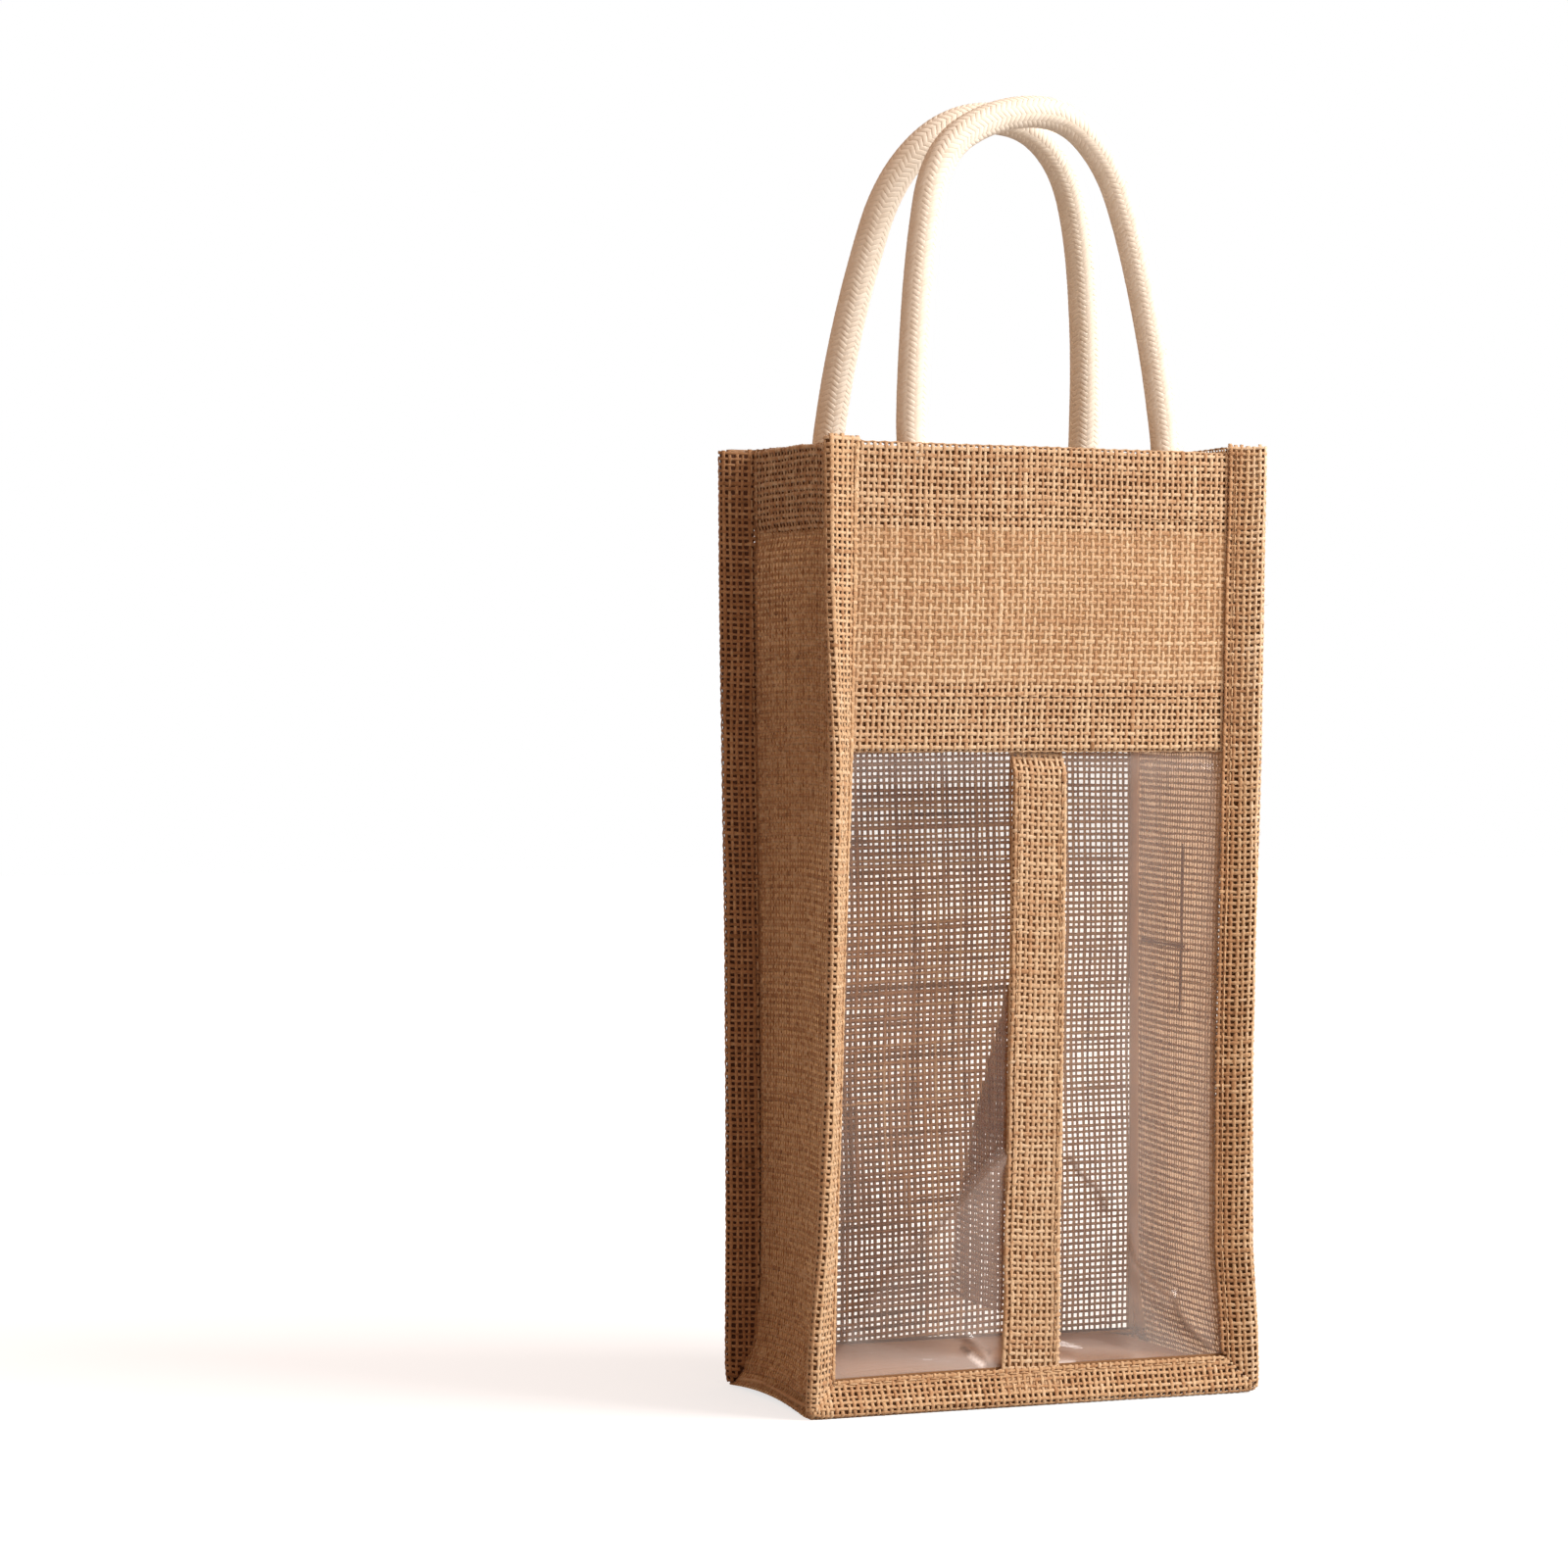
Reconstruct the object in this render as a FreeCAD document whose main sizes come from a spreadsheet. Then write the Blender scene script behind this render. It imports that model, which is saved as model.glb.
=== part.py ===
"""A carrier bag for two bottles: woven cloth with bound seams, a clear window and rope handles.

The bag stands on the floor at z = 0 with its window towards -Y. The front and back panels lie
flat against the turned-out edges of one band that makes both sides and the base, and a folded
tape grips each of those seams.
"""

import FreeCAD, Part
import Sketcher

import math
import os

# Driving sizes, in millimetres and degrees.
SIZES = {
    "inner_width": 152,  # between the two side walls
    "inner_depth": 80,  # between the front and back panels
    "rim_height": 350,  # from the floor to the rim
    "cloth": 1.2,  # one layer of woven cloth or tape
    "film": 0.5,  # the clear window
    "flange": 15,  # a bound seam, from its root to its folded edge
    "binding_stub": 3,  # the binding's end that stands above the rim
    "rim_hem": 31,  # cloth turned in at the rim
    "window_top": 238,  # the front panel's lower edge, above the floor
    "window_hem": 24,  # cloth turned in above the window
    "film_lap": 12,  # film and strip behind that hem
    "film_ramp": 12,  # height in which film and strip pass behind that hem
    "strip_width": 23,  # the upright strip on the window
    "web_low": 30,  # the divider's lower edge, above the floor
    "web_front": 203,  # the divider's front edge ends at this height
    "web_knee": 66,  # its free edge turns down at this height
    "web_back": 34,  # its back edge ends at this height
    "rope": 11,  # diameter of a handle rope
    "rope_span": 104,  # between a handle's two legs
    "rope_rise": 115,  # from a handle's bend at the rim to the middle of its top
    "rope_lift": 1,  # a handle that lies level clears the rim by this
    "rope_gap": 0.3,  # between a handle's bend and its sewn tails
    "front_lean": 3,  # how far the front handle leans inwards, in degrees
    "back_lean": 12,  # how far the back handle leans inwards, in degrees
    "tail_length": 30,  # a sewn tail below the rim
    "tail_neck": 10,  # height in which a tail goes from round to flat
    "tail_width": 15,  # a tail where it is sewn flat
    "tail_thickness": 5,  # a tail where it is sewn flat
    "thread": 0.9,  # the sewing thread over a tail
}
# Each handle's route from leg to leg, as shares of half its span and of its rise.
ROPE_ROUTE_SHARES = (
    (-1.0, 0.0),
    (-1.0, 0.25),
    (-0.92, 0.56),
    (-0.68, 0.86),
    (-0.27, 1.0),
    (0.27, 1.0),
    (0.68, 0.86),
    (0.92, 0.56),
    (1.0, 0.25),
    (1.0, 0.0),
)
ROPE_ARC_SHARE = 0.45  # how much of the shorter run an arc of the route takes
STITCH_SHARES = (0.25, 0.75)  # where thread crosses a tail's flat stretch
KNEE_SHARE = 0.875  # how far back the divider's free edge turns down

doc = FreeCAD.newDocument("bottle_carrier")
sheet = doc.addObject("Spreadsheet::Sheet", "Sheet")
for row, (alias, size) in enumerate(SIZES.items(), start=1):
    sheet.set(f"A{row}", str(size))
    sheet.setAlias(f"A{row}", alias)
doc.recompute()

# Places that several pieces share, as expressions of the sheet.
CLOTH = "Sheet.cloth"
RIM = "Sheet.rim_height"
WALL = "Sheet.inner_width / 2"
WALL_OUT = f"({WALL} + {CLOTH})"
WALL_HEM = f"({WALL} - {CLOTH})"
TIP = f"({WALL} + Sheet.flange)"
SEAM = f"({TIP} - {CLOTH})"
BASE = "Sheet.flange"
BASE_OUT = f"({BASE} - {CLOTH})"
BINDING_TOP = f"({RIM} + Sheet.binding_stub)"
FRONT = "(-Sheet.inner_depth / 2)"
FRONT_SEAM = f"({FRONT} + Sheet.film)"
BACK = "(Sheet.inner_depth / 2)"
RAMP_LOW = "(Sheet.window_top - Sheet.film_ramp)"
LAP_TOP = "(Sheet.window_top + Sheet.film_lap)"
BEND = f"({RIM} + Sheet.rope_lift + Sheet.rope / 2)"
ROPE_Y = f"(Sheet.inner_depth / 2 - {CLOTH} - Sheet.rope_gap - Sheet.rope / 2)"
TAIL_LOW = f"({RIM} - Sheet.tail_length)"
TAIL_FLAT_TOP = f"({RIM} - Sheet.tail_neck)"
TAIL_TOP = f"({RIM} + Sheet.rope_lift - Sheet.rope_gap)"


def minus(text):
    return f"-({text})"


def value(text):
    """The number that an expression of the sheet stands for."""
    return float(sheet.evalExpression(text))


def rectangle(left, right, low, high):
    return [(left, low), (right, low), (right, high), (left, high)]


def mirrored(corners):
    """The same outline on the other side of the middle."""
    return [(minus(across), up) for across, up in reversed(corners)]


def new_body(name):
    return doc.addObject("PartDesign::Body", name)


def outline(body, role, offset, corners):
    """A closed outline on one of the body's own planes, every corner bound to the sheet."""
    sketch = body.newObject("Sketcher::SketchObject", f"{body.Name}_outline")
    plane = next(f for f in body.Origin.OriginFeatures if f.Role == role)
    sketch.AttachmentSupport = (plane, [""])
    sketch.MapMode = "FlatFace"
    sketch.setExpression("AttachmentOffset.Base.z", offset)
    points = [FreeCAD.Vector(value(across), value(up), 0) for across, up in corners]
    for i, point in enumerate(points):
        sketch.addGeometry(Part.LineSegment(points[i - 1], point))
    for i in range(len(points)):
        line_before = (i - 1) % len(points)
        sketch.addConstraint(Sketcher.Constraint("Coincident", line_before, 2, i, 1))
    for i, pair in enumerate(corners):
        for kind, axis, text in zip(("DistanceX", "DistanceY"), (-2, -1), pair):
            if value(text) == 0:
                sketch.addConstraint(Sketcher.Constraint("PointOnObject", i, 2, axis))
                continue
            k = sketch.addConstraint(Sketcher.Constraint(kind, -1, 1, i, 2, value(text)))
            sketch.setExpression(f"Constraints[{k}]", text)
    return sketch


def layer(body, corners, low, high):
    """A flat piece seen from the front, between two places along Y."""
    pad = body.newObject("PartDesign::Pad", f"{body.Name}_layer")
    pad.Profile = outline(body, "XZ_Plane", minus(low), corners)
    pad.setExpression("Length", f"({high}) - ({low})")
    pad.Reversed = True


def profile(body, corners, half_width, middle="0"):
    """A piece seen from the side, as wide to the left of its middle as to the right."""
    pad = body.newObject("PartDesign::Pad", f"{body.Name}_profile")
    pad.Profile = outline(body, "YZ_Plane", f"{middle} - ({half_width})", corners)
    pad.setExpression("Length", f"2 * ({half_width})")


def front_upper_panel():
    """Cloth from the rim to the window, turned in at both of those edges."""
    body = new_body("front_upper_panel")
    layer(body, rectangle(minus(SEAM), SEAM, "Sheet.window_top", RIM), f"{FRONT} - {CLOTH}", FRONT)
    rim_hem = rectangle(minus(WALL_HEM), WALL_HEM, f"{RIM} - Sheet.rim_hem", RIM)
    layer(body, rim_hem, FRONT, f"{FRONT} + {CLOTH}")
    hem_top = "Sheet.window_top + Sheet.window_hem"
    window_hem = rectangle(minus(WALL), WALL, "Sheet.window_top", hem_top)
    layer(body, window_hem, FRONT, f"{FRONT} + {CLOTH}")
    return body


def back_panel():
    """One sheet of cloth, turned in at the rim."""
    body = new_body("back_panel")
    layer(body, rectangle(minus(SEAM), SEAM, CLOTH, RIM), BACK, f"{BACK} + {CLOTH}")
    rim_hem = rectangle(minus(WALL_HEM), WALL_HEM, f"{RIM} - Sheet.rim_hem", RIM)
    layer(body, rim_hem, f"{BACK} - {CLOTH}", BACK)
    return body


def gusset_band():
    """Both sides and the base in one band, with its long edges turned out and its ends hemmed."""
    body = new_body("gusset_band")
    hem_low = f"{RIM} - Sheet.rim_hem"
    right = [
        (WALL_OUT, BASE_OUT),
        (WALL_OUT, RIM),
        (WALL_HEM, RIM),
        (WALL_HEM, hem_low),
        (WALL, hem_low),
        (WALL, BASE),
    ]
    layer(body, right + mirrored(right), FRONT_SEAM, BACK)
    turned_out = [(SEAM, CLOTH), (SEAM, RIM), (WALL, RIM), (WALL, BASE)]
    edge = turned_out + mirrored(turned_out)
    layer(body, edge, FRONT_SEAM, f"{FRONT_SEAM} + {CLOTH}")
    layer(body, edge, f"{BACK} - {CLOTH}", BACK)
    return body


def window_film():
    """Clear film in the front seam, whose top passes behind the window hem."""
    body = new_body("window_film")
    right = [(SEAM, CLOTH), (SEAM, "Sheet.window_top"), (WALL, "Sheet.window_top"), (WALL, RAMP_LOW)]
    layer(body, right + mirrored(right), FRONT, FRONT_SEAM)
    behind = f"{FRONT} + 2 * {CLOTH}"
    tab = [
        (FRONT, RAMP_LOW),
        (FRONT_SEAM, RAMP_LOW),
        (f"{behind} + Sheet.film", "Sheet.window_top"),
        (f"{behind} + Sheet.film", LAP_TOP),
        (behind, LAP_TOP),
        (behind, "Sheet.window_top"),
    ]
    profile(body, tab, WALL)
    return body


def centre_strip():
    """The upright strip on the film, from the bottom seam to behind the window hem."""
    body = new_body("centre_strip")
    behind = f"{FRONT} + 2 * {CLOTH}"
    corners = [
        (FRONT, CLOTH),
        (FRONT, RAMP_LOW),
        (behind, "Sheet.window_top"),
        (behind, LAP_TOP),
        (f"{FRONT} + {CLOTH}", LAP_TOP),
        (f"{FRONT} + {CLOTH}", "Sheet.window_top"),
        (f"{FRONT} - {CLOTH}", RAMP_LOW),
        (f"{FRONT} - {CLOTH}", CLOTH),
    ]
    profile(body, corners, "Sheet.strip_width / 2")
    return body


def divider_web():
    """The web that keeps the bottles apart, sewn to the strip in front and low down at the back."""
    body = new_body("divider_web")
    knee = f"{FRONT_SEAM} + ({BACK} - {FRONT_SEAM}) * {KNEE_SHARE}"
    corners = [
        (FRONT_SEAM, "Sheet.web_low"),
        (BACK, "Sheet.web_low"),
        (BACK, "Sheet.web_back"),
        (knee, "Sheet.web_knee"),
        (FRONT_SEAM, "Sheet.web_front"),
    ]
    profile(body, corners, f"{CLOTH} / 2")
    return body


def side_binding(name, side, layers):
    """A folded tape down one upright seam, mitred at the bottom; layers run from -Y to +Y."""
    body = new_body(name)
    first, inner, outer, last = layers
    root = {"shown": (WALL, BASE), "behind": (WALL_OUT, BASE_OUT)}
    leaves = (("shown", "behind") if "front" in name else ("behind", "shown"))
    for leaf, low, high in zip(leaves, (first, outer), (inner, last)):
        across, up = root[leaf]
        corners = [(TIP, "0"), (TIP, BINDING_TOP), (across, BINDING_TOP), (across, up)]
        layer(body, corners if side == "right" else mirrored(corners), low, high)
    fold = [(TIP, "0"), (TIP, BINDING_TOP), (SEAM, BINDING_TOP), (SEAM, CLOTH)]
    layer(body, fold if side == "right" else mirrored(fold), first, last)
    return body


def bottom_binding(name, layers):
    """A folded tape along a bottom seam, mitred at both ends; the bag stands on its fold."""
    body = new_body(name)
    first, inner, outer, last = layers
    root = {"shown": (WALL, BASE), "behind": (WALL_OUT, BASE_OUT)}
    leaves = (("shown", "behind") if "front" in name else ("behind", "shown"))
    for leaf, low, high in zip(leaves, (first, outer), (inner, last)):
        across, up = root[leaf]
        layer(body, [(minus(TIP), "0"), (TIP, "0"), (across, up), (minus(across), up)], low, high)
    fold = [(minus(TIP), "0"), (TIP, "0"), (SEAM, CLOTH), (minus(SEAM), CLOTH)]
    layer(body, fold, first, last)
    return body


def bindings():
    """Six tapes: the left, right and bottom seams of the front and of the back."""
    front = (
        f"{FRONT} - 2 * {CLOTH}",
        f"{FRONT} - {CLOTH}",
        f"{FRONT_SEAM} + {CLOTH}",
        f"{FRONT_SEAM} + 2 * {CLOTH}",
    )
    back = (f"{BACK} - 2 * {CLOTH}", f"{BACK} - {CLOTH}", f"{BACK} + {CLOTH}", f"{BACK} + 2 * {CLOTH}")
    made = []
    for face, layers in (("front", front), ("back", back)):
        for side in ("left", "right"):
            made.append(side_binding(f"{face}_{side}_binding", side, layers))
        made.append(bottom_binding(f"{face}_bottom_binding", layers))
    return made


def bound_box(name, sizes, place):
    """A box whose three sizes and low corner are bound to the sheet."""
    box = doc.addObject("Part::Box", name)
    for key, text in zip(("Length", "Width", "Height"), sizes):
        box.setExpression(key, text)
    for key, text in zip(("x", "y", "z"), place):
        box.setExpression(f"Placement.Base.{key}", text)
    return box


def bound_cylinder(name, radius, height, place):
    """An upright cylinder whose sizes and foot are bound to the sheet."""
    cylinder = doc.addObject("Part::Cylinder", name)
    cylinder.setExpression("Radius", radius)
    cylinder.setExpression("Height", height)
    for key, text in zip(("x", "y", "z"), place):
        cylinder.setExpression(f"Placement.Base.{key}", text)
    return cylinder


def tail_neck(name, facing, across):
    """The stretch of a tail that slopes out from the flat to the whole rope."""
    hem = f"({BACK} - {CLOTH})"
    flat_reach = f"{hem} - Sheet.tail_thickness"
    round_reach = f"{ROPE_Y} - Sheet.rope / 2"
    side_view = [(hem, TAIL_FLAT_TOP), (hem, TAIL_TOP), (round_reach, TAIL_TOP), (round_reach, RIM),
                 (flat_reach, TAIL_FLAT_TOP)]
    if facing == "-":
        side_view = mirrored(side_view)
    body = new_body(f"{name}_slope")
    profile(body, side_view, "Sheet.rope / 2", across)
    neck = doc.addObject("Part::Common", f"{name}_neck")
    neck.Base = body
    neck.Tool = bound_cylinder(
        f"{name}_whole", "Sheet.rope / 2", f"{TAIL_TOP} - {TAIL_FLAT_TOP}",
        (across, f"{facing}{ROPE_Y}", TAIL_FLAT_TOP),
    )
    return neck


def rope_tail(name, facing, across):
    """A handle's sewn end: round at the rim and flat against the hem; facing is - or +."""
    half_thickness = "Sheet.tail_thickness / 2"
    half_run = f"(Sheet.tail_width / 2 - {half_thickness})"
    flat_height = f"{TAIL_FLAT_TOP} - {TAIL_LOW}"
    middle_y = f"{facing}({BACK} - {CLOTH} - {half_thickness})"
    flat = bound_box(
        f"{name}_flat",
        (f"2 * {half_run}", "Sheet.tail_thickness", flat_height),
        (f"{across} - {half_run}", f"{middle_y} - {half_thickness}", TAIL_LOW),
    )
    edges = [
        bound_cylinder(f"{name}_edge", half_thickness, flat_height,
                       (f"{across} {sign} {half_run}", middle_y, TAIL_LOW))
        for sign in "-+"
    ]
    tail = doc.addObject("Part::MultiFuse", name)
    tail.Shapes = [flat, *edges, tail_neck(name, facing, across)]
    tail.Refine = True
    return tail


def stitch(name, facing, across, share):
    """Thread that goes over a flat tail and into the hem on both sides of it."""
    flat_height = f"({TAIL_FLAT_TOP} - {TAIL_LOW})"
    low = f"{TAIL_LOW} + {flat_height} * {share} - Sheet.thread / 2"
    half = "Sheet.tail_width / 2"
    hem = f"({BACK} - {CLOTH})"
    reach = "(Sheet.tail_thickness + Sheet.thread)"
    outer_y = f"-{hem}" if facing == "-" else f"{hem} - {reach}"
    inner_y = f"-{hem}" if facing == "-" else f"{hem} - Sheet.tail_thickness"
    outer = bound_box(
        f"{name}_over",
        (f"2 * ({half} + Sheet.thread)", reach, "Sheet.thread"),
        (f"{across} - {half} - Sheet.thread", outer_y, low),
    )
    inner = bound_box(
        f"{name}_room",
        (f"2 * {half}", "Sheet.tail_thickness", "Sheet.thread"),
        (f"{across} - {half}", inner_y, low),
    )
    cut = doc.addObject("Part::Cut", name)
    cut.Base = outer
    cut.Tool = inner
    return cut


def rope_ends(face, facing):
    """A handle's two sewn tails, and the group of stitches that holds them."""
    made = []
    stitches = []
    for side, across in (("left", "-Sheet.rope_span / 2"), ("right", "Sheet.rope_span / 2")):
        made.append(rope_tail(f"{face}_{side}_rope_tail", facing, across))
        for share in STITCH_SHARES:
            stitches.append(stitch(f"{face}_{side}_stitch", facing, across, share))
    group = doc.addObject("Part::Compound", f"{face}_rope_stitches")
    group.Links = stitches
    return made + [group]


def rounded_route(points):
    """Straight runs between the points, joined by the largest arcs that they allow."""
    edges = []
    start = points[0]
    for before, point, after in zip(points, points[1:], points[2:]):
        back = (before - point).normalize()
        ahead = (after - point).normalize()
        half_turn = (math.pi - back.getAngle(ahead)) / 2
        shorter = min((before - point).Length, (after - point).Length)
        reach = ROPE_ARC_SHARE * shorter
        radius = reach / math.tan(half_turn)
        towards_middle = (back + ahead).normalize()
        middle = point + towards_middle * (radius / math.cos(half_turn) - radius)
        enters = point + back * reach
        leaves = point + ahead * reach
        edges.append(Part.LineSegment(start, enters).toShape())
        edges.append(Part.Arc(enters, middle, leaves).toShape())
        start = leaves
    edges.append(Part.LineSegment(start, points[-1]).toShape())
    return Part.Wire(edges)


def rope_foot(radius, end):
    """A leg's end, rounded about the line on which the handle swings."""
    along = FreeCAD.Vector(1, 0, 0)
    stub = Part.makeCylinder(radius, radius, end, FreeCAD.Vector(0, 0, -1))
    barrel = Part.makeCylinder(radius, 2 * radius, end - along * radius, along)
    return stub.common(barrel)


def handle_rope(name, facing, lean):
    """A rope arch from bend to bend, rounded where it bends at the rim."""
    half_span = value("Sheet.rope_span / 2")
    rise = value("Sheet.rope_rise")
    radius = value("Sheet.rope / 2")
    points = [FreeCAD.Vector(across * half_span, 0, up * rise) for across, up in ROPE_ROUTE_SHARES]
    route = rounded_route(points)
    start = points[1] - points[0]
    ring = Part.Wire([Part.Circle(points[0], start, radius).toShape()])
    arch = route.makePipeShell([ring], True, True)
    expected = math.pi * radius**2 * route.Length
    print(f"{name}: length {route.Length:.1f}, volume {arch.Volume:.0f} of {expected:.0f}")
    for end in (points[0], points[-1]):
        arch = arch.fuse(rope_foot(radius, end))
    rope = doc.addObject("Part::Feature", name)
    rope.Shape = arch.removeSplitter()
    place = FreeCAD.Vector(0, value(f"{facing}{ROPE_Y}"), value(BEND))
    rope.Placement = FreeCAD.Placement(place, FreeCAD.Rotation(FreeCAD.Vector(1, 0, 0), lean))
    return rope


def check(objects):
    """Stops if anything failed to build."""
    for thing in doc.Objects:
        if {"Invalid", "Error"} & set(thing.State):
            raise RuntimeError(f"{thing.Name} failed: {thing.State}")
    for thing in objects:
        if thing.Shape.isNull() or not thing.Shape.isValid() or not thing.Shape.Solids:
            raise RuntimeError(f"{thing.Label} has no valid solid")


nodes = [
    front_upper_panel(),
    window_film(),
    centre_strip(),
    back_panel(),
    gusset_band(),
    divider_web(),
    *bindings(),
    *rope_ends("front", "-"),
    *rope_ends("back", "+"),
    handle_rope("front_handle_rope", "-", -value("Sheet.front_lean")),
    handle_rope("back_handle_rope", "+", value("Sheet.back_lean")),
]
doc.recompute()
check(nodes)

os.makedirs("parts", exist_ok=True)
for node in nodes:
    node.Shape.exportStep(f"parts/{node.Label}.step")
    box = node.Shape.optimalBoundingBox()
    print(f"{node.Label}: {len(node.Shape.Solids)} solid, volume {node.Shape.Volume:.0f},"
          f" x {box.XMin:.1f}..{box.XMax:.1f} y {box.YMin:.1f}..{box.YMax:.1f} z {box.ZMin:.1f}..{box.ZMax:.1f}")
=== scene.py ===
"""A carrier bag for two bottles, with every yarn of its cloth and every strand of its ropes.

Shapes are worked out in millimetres, in the same frame as the solids, and become metres when a mesh
is made. The front and the back are laid out flat first, as (across, up, off): across and up along
the face, off out of it. A Face then leans its seams the way they lean in the photo.
"""

import math

import bpy
import numpy as np
from mathutils import Matrix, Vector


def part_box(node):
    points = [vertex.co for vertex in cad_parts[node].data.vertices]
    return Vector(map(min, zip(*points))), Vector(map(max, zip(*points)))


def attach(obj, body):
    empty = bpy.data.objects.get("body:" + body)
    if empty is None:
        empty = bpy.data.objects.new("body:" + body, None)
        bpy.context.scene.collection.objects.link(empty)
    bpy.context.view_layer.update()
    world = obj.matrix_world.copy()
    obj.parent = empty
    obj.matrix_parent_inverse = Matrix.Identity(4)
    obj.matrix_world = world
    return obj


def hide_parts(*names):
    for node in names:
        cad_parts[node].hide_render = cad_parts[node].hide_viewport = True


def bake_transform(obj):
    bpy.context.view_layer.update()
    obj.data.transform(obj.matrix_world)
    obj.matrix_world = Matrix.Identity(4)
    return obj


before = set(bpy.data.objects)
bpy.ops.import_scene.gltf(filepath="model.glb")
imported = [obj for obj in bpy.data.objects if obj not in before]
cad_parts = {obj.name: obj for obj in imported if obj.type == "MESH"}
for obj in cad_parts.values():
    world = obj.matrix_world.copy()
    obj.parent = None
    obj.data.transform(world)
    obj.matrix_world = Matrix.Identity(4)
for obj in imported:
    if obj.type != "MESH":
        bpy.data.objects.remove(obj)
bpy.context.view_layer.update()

MM = 0.001
LOW, HIGH = 0, 1
X, Y, Z = 0, 1, 2
LEFT, RIGHT = -1, 1
FEW = 1e-3


def edge(node, end, axis):
    """One side of a solid's box, in millimetres."""
    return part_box(node)[end][axis] / MM


ROOT = edge("front_right_binding", LOW, X)  # a flange starts this far from the middle
FLANGE = edge("front_right_binding", HIGH, X) - ROOT
RIM = edge("front_upper_panel", HIGH, Z)
WINDOW_TOP = edge("front_upper_panel", LOW, Z)
FILM_TOP = edge("window_film", HIGH, Z)
FRONT_MID = (edge("front_right_binding", LOW, Y) + edge("front_right_binding", HIGH, Y)) / 2
BACK_MID = (edge("back_right_binding", LOW, Y) + edge("back_right_binding", HIGH, Y)) / 2
DEPTH = BACK_MID - FRONT_MID
BASE = edge("front_bottom_binding", HIGH, Z)
SHORT_OF_TIP = 3.2
SHEET_HALF = ROOT + FLANGE - SHORT_OF_TIP  # the panels and the film reach this far into the seams

# The cloth: one yarn to each pitch, flattened, waving this far to both sides of the sheet.
WARP_PITCH = 2.33
WEFT_PITCH = 2.4
TAPE_WARP_PITCH = 2.3
TAPE_WEFT_PITCH = 2.25
STRIP_WEFT_PITCH = 2.35
YARN_HALF_THICKNESS = 0.33
WAVE = 0.18
SKIN = WAVE + YARN_HALF_THICKNESS
CLOSE_SHARE = 0.70  # how much of its pitch a yarn covers where it crosses another
PINCH_SHARE = 0.22  # how much narrower it is between two crossings
HEM_SHARE = 0.6  # how much of its pitch a yarn covers in the hidden layers
YARN_END_SHARE = 0.45  # a yarn goes on for this much of a pitch past its last crossing
PLAIN_YARN = {"rings": 1, "sides": 4}  # for the cloth that shows least

# How uneven the yarns are, in shares of their pitch or thickness.
BOW_SHARE = 0.3
WANDER_SHARE = 0.055
ASIDE_SHARE = 0.03
JITTER_SHARE = 0.022
THICKNESS_SHARE = 0.08
SWELL_SHARE = 0.11
SLUB_SHARE = 0.45
THIN_SHARE, THICK_SHARE = 0.6, 1.5
SLUB_REACH = (3, 14)  # in crossings

# Places out of a face, from the middle of its seams.
PANEL_OFF = 0.85
HEM_OFF = -0.6
LEAF_OFF = 2.05
STRIP_OFF = 1.7
STRIP_FOLD_OFF = 0.75
RIM_HEM = 31
WINDOW_HEM = 24
ROUND_FOLD = 2  # a panel's outer weave goes on this far round its hems
HEM_INSET = 1.5  # the hems' inner layers end this far from the seams
THIN = 0.05  # half the thickness of the linings

ROUNDING = 1.2  # the flanges' corners are drawn in by this much, both ways
TURN = 4  # a flange bends away from its face over this reach


def between(pairs, place):
    """The value at a place, on straight lines between (place, value) pairs."""
    places, values = np.array(pairs, float).T
    return np.interp(place, places, values)


def fraction(value, start, end):
    """How much of the way from start to end a value has come, from 0 to 1."""
    return np.clip((value - start) / (end - start), 0, 1)


def smooth(t):
    """A fraction that starts and ends level."""
    return t * t * (3 - 2 * t)


def hump(distance, half):
    """1 in the middle, falling off over half a width to both sides."""
    return np.exp(-((distance / half) ** 2))


def fading(distance, length):
    """1 up to the start, fading away after it."""
    return np.exp(-np.maximum(distance, 0) / length)


def unit(vectors):
    return vectors / np.maximum(np.linalg.norm(vectors, axis=-1, keepdims=True), 1e-12)


def facing_of(surface, s, v, step):
    """Which way a surface of (across, along) places faces, from places a step to each side."""
    sideways = surface(s + step, v) - surface(s - step, v)
    upwards = surface(s, v + step) - surface(s, v - step)
    return unit(np.cross(sideways, upwards))


def bent(reach, lean):
    """How far out and how far ahead a flange has come at a reach from its root."""
    lean = np.maximum(lean, FEW)
    radius = TURN / lean
    angle = np.clip(reach, 0, TURN) / radius
    rest = np.maximum(reach - TURN, 0)
    out = radius * np.sin(angle) + rest * np.cos(lean)
    ahead = radius * (1 - np.cos(angle)) + rest * np.sin(lean)
    return out, ahead


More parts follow.
